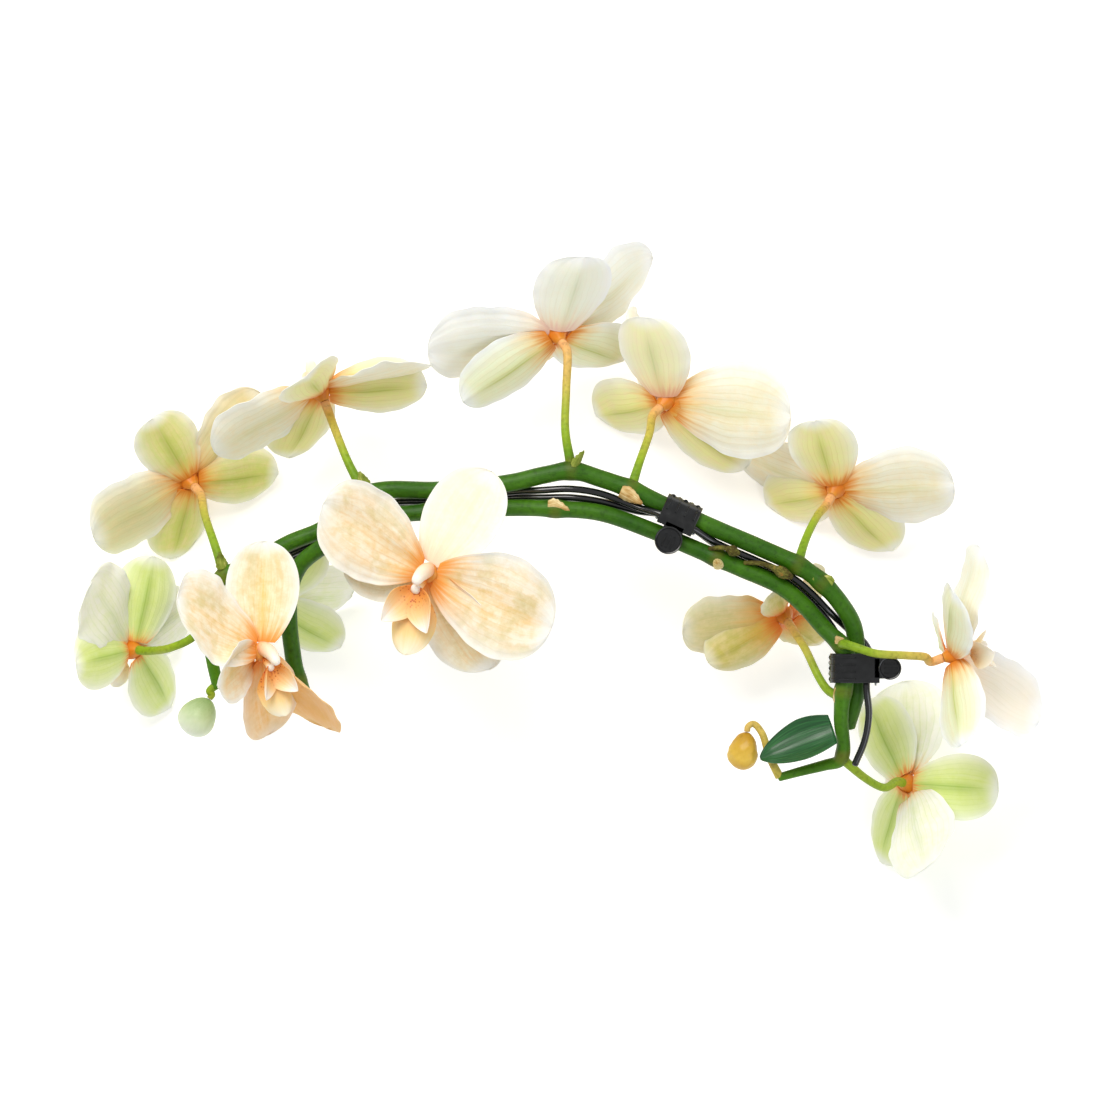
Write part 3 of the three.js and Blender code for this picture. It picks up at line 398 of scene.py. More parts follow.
# A thin closed blade along +Y with its front toward +Z, thinner at its edges, with a raised rib behind it
def blade(form, rows, columns, marks=None, finish=0):
    s = 1 - (1 - np.linspace(0, 1, rows)) ** bladeCut["rows"]
    bend = bladeCut["columns"]
    v = np.sin(np.linspace(-1, 1, columns) * math.pi / 2 * bend) / math.sin(math.pi / 2 * bend)
    s, v = np.meshgrid(s, v, indexing="ij")
    lean = form.get("lean", 0.0)

    def surface(s, v):
        half = halfWidth(form, s)
        return np.stack([v * half + lean * np.sin(math.pi * np.clip(s, 0, 1)), s * form["length"],
                         bladeDepth(form, s, v, half)], -1)

    step = 0.004
    alongWay = surface(s + step, v) - surface(s - step, v)
    sideWay = surface(s, v + step) - surface(s, v - step)
    normal = np.cross(sideWay, alongWay)
    normal /= np.maximum(np.linalg.norm(normal, axis=-1), 1e-12)[..., None]
    x = v * halfWidth(form, s)
    # The rim share thins the blade toward its edges and tip; the petal finishes also read it to paint a
    # near-white highlight there
    rim = np.maximum(np.abs(v) ** 3, ease(s, 0.8, 1.0))
    body = form["thickness"] / 2 * (1 - bladeCut["rimThins"] * rim)
    ribRun = np.sqrt(np.sin(math.pi * np.clip(s, 0.02, 0.97)))
    rib = form.get("rib", 0.0) * np.exp(-(x / (bladeCut["ribSpread"] * (1.15 - 0.6 * s))) ** 2) * ribRun
    centre = surface(s, v)
    front = centre + normal * (body - 0.4 * rib)[..., None]
    back = centre - normal * (body + rib)[..., None]
    points = np.concatenate([front.reshape(-1, 3), back.reshape(-1, 3)])
    count = rows * columns
    faces = []
    for i in range(rows - 1):
        for j in range(columns - 1):
            a = i * columns + j
            faces.append([a, a + 1, a + columns + 1, a + columns])
            faces.append([count + a, count + a + columns, count + a + columns + 1, count + a + 1])
    rimRun = ([(j + 1, j) for j in range(columns - 1)]
              + [(i * columns, (i + 1) * columns) for i in range(rows - 1)]
              + [((rows - 1) * columns + j, (rows - 1) * columns + j + 1) for j in range(columns - 1)]
              + [((i + 1) * columns - 1, i * columns - 1) for i in range(rows - 1, 0, -1)])
    faces += [[a, b, count + b, count + a] for a, b in rimRun]
    seed = form.get("seed", 0.0)
    lay = np.stack([v.ravel(), s.ravel(), np.full(count, seed * 10)], 1)
    allMarks = {"lay": np.tile(lay, (2, 1)), "rim": np.tile(rim.ravel(), 2),
                "front": np.repeat([1.0, 0.0], count), **(marks or {})}
    return shape(points, faces, allMarks, finish)


# A turned form: profile points are radius and height, with a slight lobing if asked
def turned(profile, sides, lobes=0, lobeDepth=0.0, marks=None, finish=0):
    angles = np.linspace(0, 2 * math.pi, sides, endpoint=False)
    points = []
    for r, z in profile:
        reaches = r * (1 + lobeDepth * np.cos(lobes * angles))
        points += list(zip(reaches * np.cos(angles), reaches * np.sin(angles), np.full(sides, z)))
    return shape(points, wallFaces(len(profile), sides), marks, finish)


# Turns a blade to its azimuth round the heart, its lift toward the front and its twist on itself
def aimed(form, azimuth, lift, twist, footRadius, footHeight):
    direction = math.radians(azimuth)
    shift = (footRadius * math.cos(direction), footRadius * math.sin(direction), footHeight)
    return moved(form, turnAbout("Z", azimuth - 90) @ turnAbout("X", lift) @ turnAbout("Y", twist), shift)


# Blooms. Each has its heart, the way it faces, where its crown points, and for each blade its azimuth, lift,
# twist and share of the full size.
seedSteps = {"bloom": 1.37, "lateral": 0.31, "petal": 0.23}  # so that no two blades wave alike
bladeSizes = {"dorsal": (37, 25), "lateral": (37, 24.5), "petal": (43, 34), "foot": 2.8, "thickness": 0.7,
              "sepalHeight": -0.6, "petalHeight": 1.0}
sepalForm = {"widest": 0.55, "foot": 0.38, "opening": 0.85, "tip": 2.1, "bow": -0.02, "cup": 0.2, "keel": 0.7,
             "wave": 0.25, "ripples": 3, "rib": 0.6, "frill": 0.16, "dents": 0.3, "veinRelief": 0.11,
             "veins": 7}
petalForm = {"widest": 0.58, "foot": 0.26, "opening": 0.85, "tip": 2.3, "bow": 0.03, "cup": 0.08, "keel": 0.5,
             "wave": 0.7, "ripples": 3.4, "rib": 0.25, "frill": 0.35, "dents": 0.5, "veinRelief": 0.1,
             "veins": 10}
bloomGrid = {"sepal": (40, 33), "petal": (48, 43)}
blooms = {
    "01": {"heart": (-125, 27, 20.6), "facing": (-0.45, 0.52, -0.72), "crown": (-0.42, 0.58, 0.7),
           "size": 0.9, "lip": 0.7, "dorsal": (95, 4, -5), "laterals": [(309, 8, 5), (219, 0, -8)],
           "petals": [(13, -4), (171, 6, 8)], "tone": "creamBloom", "spike": "upper",
           "stalk": [(-113, -4.4, 50), (-116, 5, 47), (-119.5, 15, 40)]},
    "02": {"heart": (-80, 57, 36), "facing": (-0.35, 0.9, -0.26), "crown": (-0.25, 0.2, 0.95), "size": 0.97,
           "lip": 0.6, "dorsal": (95, -2, 15), "laterals": [(312, -13, 12), (198, -15, -35)],
           "petals": [(7, -10, 16), (176, -14, 4, 0.96)], "tone": "ivoryBloom", "spike": "upper",
           "stalk": [(-66, 24.5, 58), (-70.5, 33, 55), (-75, 44, 49)]},
    "03": {"heart": (0.5, 76.5, 45), "facing": (-0.4, 0.66, -0.62), "crown": (0.2, 0.74, 0.62), "size": 1.06,
           "dorsal": (89, -3, -15), "laterals": [(324, -1, 6), (213, 10, 12)],
           "petals": [(-13, 12, 0, 0.98), (158, 18, 4, 0.98)], "tone": "whiteBloom",
           "pale": (0.5, 0, 0, 0.45, 0.15), "spike": "upper",
           "stalk": [(5, 32, 58), (3, 44, 57), (3.3, 58, 52)]},
    "04": {"heart": (37, 54, 33.3), "facing": (0.55, 0.56, -0.62), "crown": (-0.05, 0.76, 0.65), "size": 1.02,
           "dorsal": (82, -2, 15), "laterals": [(326, 7, -5), (227, 18, -16)],
           "petals": [(3, 37, 0, 0.95), (179, 18, -20)], "tone": "ivoryBloom", "pale": (0.25, 0, 0, 0.1, 0),
           "spike": "upper", "stalk": [(25.3, 24.5, 58), (28, 33, 55), (31.5, 43, 48)]},
    "05": {"heart": (95, 24, 27.2), "facing": (0.4, 0.66, -0.64), "crown": (-0.07, 0.71, 0.7), "size": 0.95,
           "dorsal": (83, -4, 20), "laterals": [(325, 10, 8), (242, 15, -18)],
           "petals": [(-5, 10, -5), (175, 17, -4)], "tone": "ivoryBloom", "spike": "upper",
           "stalk": [(81.8, -1.5, 58), (84.5, 7, 52), (88.5, 15, 44)]},
    "06": {"heart": (-144.3, -30.3, 24.6), "facing": (-0.58, 0.05, -0.8), "crown": (0.18, 0.97, 0),
           "size": 0.88, "lip": 0.5, "dorsal": (90, -5, -20), "laterals": [(344, -18, 5), (214, 22)],
           "petals": [(34, -22, 8), (140, 4, 14, 0.8)], "tone": "greenBloom", "spike": "upper",
           "stalk": [(-118.5, -20, 47), (-124, -26.2, 46), (-131.4, -29.6, 42)]},
    "07": {"heart": (-43, -3.7, 84), "facing": (-0.35, -0.2, 0.91), "crown": (0.35, 0.88, 0.3), "size": 1.08,
           "lip": 1.1, "dorsal": (83, -17), "laterals": [(317, -17, 6, 1.02), (202, -21, -6)],
           "petals": [(1, -6), (175, -8, -8, 0.96)], "lobes": [(316, 22, 14), (248, 26, -26)],
           "tongue": (285, 8, 0), "tone": "peachBloom", "pale": (0.6, 0, 0, 0, 0), "spike": "lower",
           "stalk": [(-43, 16.7, 58), (-41, 10, 64), (-39.5, 2, 72)]},
    "08": {"heart": (77.7, -19, 30), "facing": (-0.35, 0.55, -0.75), "crown": (-0.05, 0.75, 0.6),
           "size": 0.82, "lip": 0.62, "dorsal": (75, -24, 20, 0.73),
           "laterals": [(338, 6, 18), (236, 20, 20, 0.92)], "petals": [(0, 8, -8), (198, 41, -10, 0.84)],
           "tone": "oliveBloom", "spike": "lower",
           "stalk": [(97.2, -46.5, 57.6), (92.3, -44, 53.6), (89.4, -40, 51), (84.6, -30, 46)]},
    "09": {"heart": (119.5, -76, 21.2), "facing": (0.45, -0.1, -0.88), "crown": (0.88, -0.1, 0.46),
           "size": 0.92, "lip": 0.44, "dorsal": (87, 6, 4), "laterals": [(323, 8, -8), (205, 30, 8)],
           "petals": [(-20, 18, 5), (147, -27, 10, 0.94)], "tone": "greenBloom", "spike": "lower",
           "stalk": [(96.4, -66.6, 50.8), (104.9, -73.8, 45), (111.5, -77.2, 37)]},
    "10": {"heart": (-100, -30.3, 80), "facing": (0.45, -0.25, 0.86), "crown": (-0.05, 0.95, 0.31),
           "size": 1.0, "lip": 0.84, "dorsal": (78, -12, -32),
           "laterals": [(281, -18, -12), (188, 40, -8, 0.84)], "petals": [(-52, -8, 78, 0.98), (142, 8, 42)],
           "lobes": [(310, 34, 30), (238, 30, -30)], "tongue": (277, 12, 0), "tone": "peachBloom",
           "amber": (0, 0.35, 0, 0.8, 0), "spike": "lower",
           "stalk": [(-90.5, -18, 52.5), (-97, -21, 60), (-102, -25.5, 68)]},
    "11": {"heart": (-100, -14, 27.4), "facing": (-0.1, 0.65, -0.75), "crown": (0.3, 0.7, 0.6), "size": 0.87,
           "lip": 0.4, "dorsal": (106, -3, -13), "laterals": [(281, 13, 0, 0.75), (198, -7, 5)],
           "petals": [(318, 28, 0, 0.7), (184, 23, 5)], "tone": "greenBloom", "spike": "lower",
           "stalk": [(-90.5, -12, 54), (-92.5, -16, 45), (-96, -19.3, 36)]},
    "12": {"heart": (134, -32, 56), "facing": (0.93, 0.3, -0.2), "crown": (-0.22, 0.15, -0.96), "size": 0.92,
           "lip": 0.7, "dorsal": (90, 12, -12), "laterals": [(222, 5, 5), (324, -15, -38)],
           "petals": [(194, 25, -4), (4, 38, 44)], "tone": "whiteBloom", "pale": (0, 0, 0, 0.1, 0.4),
           "spike": "lower",
           "stalk": [(96.5, -28.5, 60), (98, -28.3, 64.5), (102, -29.5, 67.6), (108, -31.3, 68.2),
                     (118, -32, 67.2), (125, -32.6, 62.4)]},
}


def bloomTurn(bloom):
    front = unit(bloom["facing"])
    side = unit(np.cross(bloom["crown"], front))
    return np.stack([side, np.cross(front, side), front], 1)


# Where a low blade would pass through the surface it is pressed flat on it, its under side lowest.
pressed = {"under": 0.02, "over": 0.4}


def pressedFlat(form):
    points = form["points"].copy()
    half = len(points) // 2
    low, high = (slice(0, half), slice(half, None))
    if points[low, 2].mean() > points[high, 2].mean():
        low, high = high, low
    points[low, 2] = np.maximum(points[low, 2], pressed["under"])
    points[high, 2] = np.maximum(points[high, 2], pressed["over"])
    return {**form, "points": points}


# Column and core: waxy tissue, firmer and a little glossier than the petals
waxyTissue = {"Roughness": 0.38, "IOR": 1.42, "Subsurface Weight": 0.08, "Subsurface Scale": 0.002,
              "Subsurface Radius": (1.0, 0.5, 0.25), "Specular IOR Level": 0.45}
waxyGrainMm = 0.9


def waxyFinish(name, stops, spotColour, spots, spotMm=1.1):
    finish, tree, surface = newFinish(name, waxyTissue)
    lay = addNode(tree, "Attribute", {"attribute_name": "lay"}).outputs["Vector"]
    along = addNode(tree, "Attribute", {"attribute_name": "along"}).outputs["Fac"]
    place = addNode(tree, "TexCoord").outputs["Object"]
    drawn = addNode(tree, "Mapping", {}, {"Vector": lay, "Scale": (6.0, 1.0, 6.0)})
    streaks = addNode(tree, "TexNoise", {}, {"Vector": drawn, "Scale": 1.0, "Detail": 3.0})
    ragged = addNode(tree, "Math", timesPlus, {0: streaks, 1: 0.24, 2: along})
    level = addNode(tree, "Math", {"operation": "SUBTRACT"}, {0: ragged, 1: 0.12})
    ramp = addNode(tree, "ValToRGB", {"stops": stops}, {0: level})
    dots = addNode(tree, "TexVoronoi", {}, {"Vector": place, "Scale": 1000 / spotMm})
    near = addNode(tree, "MapRange", {}, {0: dots.outputs["Distance"], 1: 0.22, 2: 0.36, 3: spots, 4: 0.0})
    foot = addNode(tree, "MapRange", smooth, {0: along, 1: 0.55, 2: 0.15, 3: 0.0, 4: 1.0})
    spotMask = addNode(tree, "Math", times, {0: near, 1: foot})
    colour = addNode(tree, "Mix", colourMix, {0: spotMask, 6: ramp, 7: hexColour(spotColour)})
    grain = addNode(tree, "TexNoise", {}, {"Vector": place, "Scale": 1000 / waxyGrainMm, "Detail": 1.0})
    bump = addNode(tree, "Bump", {}, {"Height": grain, "Strength": 0.12, "Distance": bumpDepth})
    setInputs(tree, surface, {"Base Color": colour.outputs[2], "Normal": bump})
    return finish


waxyTones = {
    "core": ("waxy heart tissue", [(0.0, "#d89c40"), (0.3, "#da8620"), (0.6, "#d87612"), (1.0, "#e8a44a")],
             "#c04a18", 0.2),
    "column": ("waxy column tissue", [(0.0, "#f2b47e"), (0.35, "#f7d4ae"), (0.8, "#fae8d0"),
                                      (1.0, "#fcf5e8")], "#c8501e", 0.35),
    "lobe": ("waxy lip tissue", [(0.0, "#dc7426"), (0.28, "#f0a656"), (0.6, "#f6d096"), (0.9, "#fcf5e8")],
             "#a02414", 0.75),
    "paleLobe": ("pale lip tissue", [(0.0, "#eebc7c"), (0.35, "#f6dcae"), (0.7, "#faf0d6"), (1.0, "#fdf9ee")],
                 "#c07030", 0.3),
    "tongue": ("waxy lip tongue", [(0.0, "#c8501a"), (0.3, "#e8a04c"), (0.7, "#f4d494"), (0.95, "#f6ecd0")],
               "#98200f", 0.75),
}
waxyFinishes = {key: waxyFinish(*tones) for key, tones in waxyTones.items()}

coreForm = {"sides": 30, "lobes": 5, "lobeDepth": 0.03,
            "profile": [(0.6, -3.05), (1.5, -3.0), (1.7, -2.6), (2.0, -2.0), (2.5, -1.2), (3.05, -0.3),
                        (3.4, 0.6), (3.45, 1.5), (3.0, 2.3), (1.4, 2.6)]}
columnForm = {"path": [(0, 1.2, 1), (0, 1.5, 5), (0, 0.9, 9), (0, -0.6, 11.6)], "radius": 2.3, "swell": 0.5,
              "thins": 0.5, "flattened": 0.12}
lobeForm = {"widest": 0.45, "foot": 0.14, "opening": 1, "tip": 1.35, "bow": 0.1, "cup": 0.45, "wave": 0,
            "ripples": 0, "keel": 0, "thickness": 0.8, "rib": 0.1, "veinRelief": 0.05, "veins": 5}
tongueForm = {"widest": 0.5, "foot": 0.16, "opening": 1, "tip": 2.2, "bow": 0.12, "cup": -0.5, "wave": 0.3,
              "ripples": 3, "keel": 0, "thickness": 0.8, "rib": 0.25, "frill": 0.15, "dents": 0.1,
              "veinRelief": 0.05, "veins": 6}
lipSizes = {"lobe": (15, 10.5), "tongue": (21, 14), "lobes": [(322, 30, 40), (218, 30, -40)],
            "turn": (270, 12, 0), "seat": (0, -2.6, 3.1), "claw": [(0, 0, 0), (0, -1, 2.6), (0, -2, 5.2)],
            "clawRadius": 1.4, "lobeFoot": (0.5, -1.4, 3.9), "tongueFoot": (0, -1.3, 4.1)}


def columnRadius(u, centre, angles):
    swell = columnForm["swell"] * math.sin(math.pi * u) - columnForm["thins"] * u
    return columnForm["radius"] + swell + columnForm["flattened"] * np.cos(2 * angles)


# One of the five blades of a bloom; the order is its place in the lists of pale and amber.
def bladeOf(kind, size, pose, seed, bloom, order):
    azimuth, lift, twist, share = (*pose, *(0, 1)[len(pose) - 2:])
    length, width = bladeSizes[size]
    grown = bloom["size"]
    form = sepalForm if kind == "sepal" else petalForm
    full = {**form, "length": length * grown * share - bladeSizes["foot"], "width": width * grown * share,
            "thickness": bladeSizes["thickness"], "seed": seed}
    marks = {"sepal": 1.0 if kind == "sepal" else 0.0, "pale": bloom.get("pale", [0] * 5)[order],
             "amber": bloom.get("amber", [0] * 5)[order]}
    return aimed(blade(full, *bloomGrid[kind], marks), azimuth, lift, twist, bladeSizes["foot"],
                 bladeSizes[kind + "Height"])


for number, bloom in blooms.items():
    turn = bloomTurn(bloom)
    seed = int(number) * seedSteps["bloom"]
    parts = [bladeOf("sepal", "dorsal", bloom["dorsal"], seed, bloom, 0)]
    parts += [bladeOf("sepal", "lateral", pose, seed + seedSteps["lateral"] * (k + 1), bloom, 1 + k)
              for k, pose in enumerate(bloom["laterals"])]
    parts += [bladeOf("petal", "petal", pose, seed + seedSteps["petal"] * (k + 3), bloom, 3 + k)
              for k, pose in enumerate(bloom["petals"])]
    parts = [pressedFlat(moved(part, turn, bloom["heart"])) for part in parts]
    coreAlong = np.repeat(np.linspace(0, 1, len(coreForm["profile"])), coreForm["sides"])
    core = turned(coreForm["profile"], coreForm["sides"], coreForm["lobes"], coreForm["lobeDepth"],
                  {"along": coreAlong}, 1)
    column = rod(smoothPath(columnForm["path"], 14), columnRadius, 16, None, 2, 0.8)
    parts += [moved(core, turn, bloom["heart"]), moved(column, turn, bloom["heart"])]
    bloomFinishes = [petalFinishes[bloom["tone"]], waxyFinishes["core"], waxyFinishes["column"]]
    addPiece("bloom" + number, parts, bloomFinishes, "root", ["bloom_" + number], 60)

    lipScale = bloom.get("lip", 1)
    lipPieces = [rod(smoothPath(lipSizes["claw"], 6), lambda u, c, a: lipSizes["clawRadius"] + 0.2 * u, 14)]
    rightLobe, leftLobe = bloom.get("lobes", lipSizes["lobes"])
    lobeFoot, tonguePose = np.array(lipSizes["lobeFoot"]), bloom.get("tongue", lipSizes["turn"])
    lipParts = [(lobeForm, *lipSizes["lobe"], rightLobe, lobeFoot, 0),
                (lobeForm, *lipSizes["lobe"], leftLobe, lobeFoot * (-1, 1, 1), 0),
                (tongueForm, *lipSizes["tongue"], tonguePose, lipSizes["tongueFoot"], 1)]
    for k, (form, length, width, pose, foot, finish) in enumerate(lipParts):
        lobe = blade({**form, "length": length, "width": width, "seed": seed + k}, 24, 19, None, finish)
        lobe["marks"]["along"] = lobe["marks"]["lay"][:, 1]
        lipPieces.append(moved(aimed(lobe, *pose, 0, 0), np.eye(3), foot))
    seat = turn @ np.array(lipSizes["seat"]) + bloom["heart"]
    lipPieces = [moved(p, turn * lipScale, seat) for p in lipPieces]
    lipTones = ("lobe", "tongue") if bloom["tone"] == "peachBloom" else ("paleLobe", "paleLobe")
    addPiece("lip" + number, lipPieces, [waxyFinishes[key] for key in lipTones], "root", ["lip_" + number],
             60)
print("blooms ready")

# Spikes: living stem, a smooth waxy skin over green tissue, so a soft broad highlight runs along it. Fine
# lengthwise grain about 0.5 mm apart, darker green flecks, and olive to brown at the old scale scars.
stemGrain = {"grainMm": 0.5, "cloudMm": 14, "fleckMm": 1.4}
stemSkin = {"Roughness": 0.46, "IOR": 1.42, "Specular IOR Level": 0.3, "Coat Weight": 0.05,
            "Coat Roughness": 0.3}


def stemFinish(name, stops, scarColour):
    finish, tree, surface = newFinish(name, stemSkin)
    lay = addNode(tree, "Attribute", {"attribute_name": "lay"}).outputs["Vector"]
    marks = {key: addNode(tree, "Attribute", {"attribute_name": key}).outputs["Fac"]
             for key in ("ripe", "scar")}
    place = addNode(tree, "TexCoord").outputs["Object"]
    fine = 3.2 / stemGrain["grainMm"]
    drawn = addNode(tree, "Mapping", {}, {"Vector": lay, "Scale": (fine, 0.25, fine)})
    grain = addNode(tree, "TexNoise", {}, {"Vector": drawn, "Scale": 1.0, "Detail": 3.0})
    clouds = addNode(tree, "TexNoise", {}, {"Vector": place, "Scale": 1000 / stemGrain["cloudMm"],
                                            "Detail": 2.0})
    flecks = addNode(tree, "TexNoise", {}, {"Vector": place, "Scale": 1000 / stemGrain["fleckMm"],
                                            "Detail": 2.0})
    shade = addNode(tree, "Math", timesPlus, {0: clouds, 1: 0.3, 2: marks["ripe"]})
    level = addNode(tree, "Math", {"operation": "SUBTRACT"}, {0: shade, 1: 0.13})
    ramp = addNode(tree, "ValToRGB", {"stops": stops}, {0: level})
    fleckMask = addNode(tree, "MapRange", {}, {0: flecks, 1: 0.55, 2: 0.68, 3: 0.0, 4: 0.55})
    darker = addNode(tree, "HueSaturation", {}, {"Value": 0.55, "Color": ramp})
    flecked = addNode(tree, "Mix", colourMix, {0: fleckMask, 6: ramp, 7: darker})
    paleMask = addNode(tree, "MapRange", {}, {0: flecks, 1: 0.46, 2: 0.34, 3: 0.0, 4: 0.5})
    paler = addNode(tree, "HueSaturation", {}, {"Value": 1.25, "Color": ramp})
    flecked = addNode(tree, "Mix", colourMix, {0: paleMask, 6: flecked.outputs[2], 7: paler})
    scarred = addNode(tree, "Mix", colourMix, {0: marks["scar"], 6: flecked.outputs[2],
                                               7: hexColour(scarColour)})
    bump = addNode(tree, "Bump", {}, {"Height": grain, "Strength": 0.4, "Distance": bumpDepth})
    setInputs(tree, surface, {"Base Color": scarred.outputs[2], "Normal": bump})
    return finish


# Along the ramp a stem goes from old deep green, through lime, to the ripe peach of a stalk's end.
stemGreen = stemFinish("waxy living stem", [(0.0, "#225003"), (0.25, "#4c800a"), (0.5, "#8eaa22"),
                                            (0.75, "#c9b452"), (1.0, "#eaae72")], "#7a6a24")

# Dried tissue: papery scales and shrivelled buds, dull and fibrous, tan to brown
driedSkin = {"Roughness": 0.78, "IOR": 1.45, "Specular IOR Level": 0.25}
driedPatchMm = 3.5


def driedFinish(name, stops, fibreMm):
    finish, tree, surface = newFinish(name, driedSkin)
    lay = addNode(tree, "Attribute", {"attribute_name": "lay"}).outputs["Vector"]
    place = addNode(tree, "TexCoord").outputs["Object"]
    drawn = addNode(tree, "Mapping", {}, {"Vector": lay, "Scale": (5.0 / fibreMm, 1.2, 5.0 / fibreMm)})
    fibres = addNode(tree, "TexNoise", {}, {"Vector": drawn, "Scale": 1.0, "Detail": 4.0, "Roughness": 0.65})
    patches = addNode(tree, "TexNoise", {}, {"Vector": place, "Scale": 1000 / driedPatchMm, "Detail": 3.0})
    both = addNode(tree, "Math", {"operation": "ADD"}, {0: fibres, 1: patches})
    level = addNode(tree, "MapRange", {}, {0: both, 1: 0.7, 2: 1.3, 3: 0.0, 4: 1.0})
    ramp = addNode(tree, "ValToRGB", {"stops": stops}, {0: level})
    bump = addNode(tree, "Bump", {}, {"Height": fibres, "Strength": 0.3, "Distance": bumpDepth})
    setInputs(tree, surface, {"Base Color": ramp, "Normal": bump})
    return finish


driedTones = {
    "scale": ("papery dried scale", [(0.0, "#8a5a2a"), (0.35, "#c09a5c"), (0.7, "#dcc48e"), (1.0, "#efe2b8")],
              1.0),
    "cut": ("dried cut stub", [(0.0, "#a07c3c"), (0.5, "#d4c488"), (1.0, "#e6dcae")], 0.8),
    "brown": ("shrivelled bud", [(0.0, "#2e200c"), (0.4, "#4e4618"), (0.75, "#6e702e"), (1.0, "#a8622e")],
              1.2),
    "olive": ("olive scale", [(0.0, "#55561c"), (0.4, "#76862e"), (0.8, "#9aa44a"), (1.0, "#c4bc78")], 1.0),
}
driedFinishes = {key: driedFinish(*tones) for key, tones in driedTones.items()}
spikeFinishes = [stemGreen, *driedFinishes.values()]
finishNumber = {key: number for number, key in enumerate(["stem", *driedTones])}

spikes = {
    "upper": {
        "radius": 3.0, "tip": 2.0, "thinsFrom": 0.72,
        "route": [(98.6, -56, 49.5), (101.9, -44, 53.6), (102, -36, 54.1), (100.8, -22.5, 55.6),
                  (96.4, -14.5, 57.5), (90.3, -7.6, 58), (82.8, -2, 58), (69.2, 4.4, 58), (55.6, 10.2, 58),
                  (42, 16.3, 58), (33.8, 20.2, 58), (25.3, 24.3, 58), (14.8, 28, 58), (5.4, 30.6, 58),
                  (-4, 29.2, 58), (-15.8, 26.5, 58), (-39.6, 24, 58), (-61.7, 23.4, 58), (-72, 17.5, 56.5),
                  (-79, 11, 55), (-91, 6, 54), (-104.5, -1.4, 52), (-113, -5, 50), (-117.6, -12, 48.5),
                  (-118.6, -22, 47), (-117, -34, 46), (-115, -43, 45)],
        "nodes": [(90.3, -7.6, 58), (81.8, -1.5, 58), (25.3, 24.5, 58), (5, 30.8, 58), (-65, 22.6, 58),
                  (-113, -5, 50), (-118.5, -20, 47)],
        "scales": [((21.5, 23.2, 60.8), (1, -0.45, 0), (-0.3, -0.5, 0.9), 8.5, 6),
                   ((6.8, 31.6, 60.2), (0.35, 1, 0.2), (0.8, -0.3, 0.6), 6.5, 5, "olive"),
                   ((93.2, -9, 60.3), (-1, 0.5, 0), (0, -0.3, 1), 7, 6.5, "olive"),
                   ((-64, 25, 60.2), (-0.6, 1, -0.1), (0.4, 0.3, 0.9), 6, 5, "olive"),
                   ((-112.5, -2.6, 52), (-0.4, 1, -0.1), (0.5, 0.3, 0.8), 6, 5, "olive")],
        "stub": ((-118, -20, 47), (-127.6, -16.8, 50), 1.5), "driedBuds": []},
    "lower": {
        "radius": 2.85, "tip": 1.4, "thinsFrom": 0.85,
        "route": [(-84.5, -48.5, 48), (-87.9, -40.5, 50), (-89.8, -30, 51.5), (-90.8, -20, 52.5),
                  (-90.4, -9.8, 54), (-87, -1.5, 56), (-79.7, 4.6, 59.5), (-70.2, 10.8, 59.5),
                  (-58.3, 15, 58), (-43, 16.7, 58), (-15.8, 18, 58), (-0.5, 17.7, 58), (14.8, 16.3, 58),
                  (31.8, 10.5, 58), (45.4, 4.8, 58), (54.2, 1, 58), (62.4, -2.6, 58), (76, -8.7, 58),
                  (83.8, -15, 58), (90.3, -22.3, 58), (98.1, -30.8, 59.3), (98.9, -36.5, 59.4),
                  (97.3, -44, 58.4), (96.6, -54, 56), (97.4, -64, 52), (96, -68, 50), (91.3, -69.4, 48.5),
                  (82.8, -71.6, 47.5), (75.6, -73.6, 47)],
        "nodes": [(-87.9, -40.5, 50), (-43, 16.7, 58), (-0.5, 17.7, 58), (54.2, 1, 58), (96.4, -28.8, 58.6),
                  (97.3, -44, 58.4), (97.4, -66, 51)],
        "scales": [((-3, 18, 60.4), (1, -0.05, 0), (0.1, -0.7, 0.7), 7.5, 6.5),
                   ((97.9, -29.9, 61.3), (-0.6, 0.8, 0.15), (0.1, 0, 1), 5.5, 5),
                   ((95.2, -48.4, 59.2), (-0.05, 1, 0.1), (-0.6, 0, 0.8), 5.5, 4.5),
                   ((-88.5, -40.5, 52.6), (0.3, -1, 0), (0.4, 0.2, 0.9), 5, 4.5)],
        "stub": ((54.2, 1, 58), (55, -1.6, 61.4), 1.9),
        "driedBuds": [([(52, 4.2, 60.3), (57, 4.4, 61.9), (61.5, 2.6, 62.4)], 1.1),
                      ([(64, -0.6, 60), (70, -1, 61.8), (79.5, -5.4, 62.3)], 1.2)]},
}
spikeForm = {"sides": 22, "steps": 420, "swelling": 0.45, "nodeReach": 3.0}
scaleForm = {"widest": 0.3, "foot": 0.75, "opening": 1, "tip": 1.3, "bow": 0.1, "cup": -0.45, "wave": 0,
             "ripples": 0, "keel": 0, "thickness": 0.7, "rib": 0.12, "frill": 0.3, "veinRelief": 0.06,
             "veins": 5}
budSizes = {"green": (14, 12.5), "yellow": (13, 10)}
budPlaces = {"green": ((-121.6, -53, 44), (-0.5, -0.85, -0.1)),
             "yellow": ((63.8, -64.6, 48), (-0.15, -1, -0.1))}
budStalks = {"upper": ("green", [(-115.4, -42, 45), (-118, -44.4, 45)], 0.3, 0.55),
             "lower": ("yellow", [(75.8, -73.4, 47), (72.4, -66.5, 48), (69.8, -58.5, 48.5),
                                  (67, -55.4, 48.4)], 0.74, 0.84)}


stalkForm = {"radius": 1.35, "footFlare": 0.5, "headFlare": 0.25, "behindHeart": (7.5, 3.3), "scar": 0.6}
budStalkForm = {"radius": 1.5, "thins": 0.45, "intoBud": 0.3, "straight": 1.6}


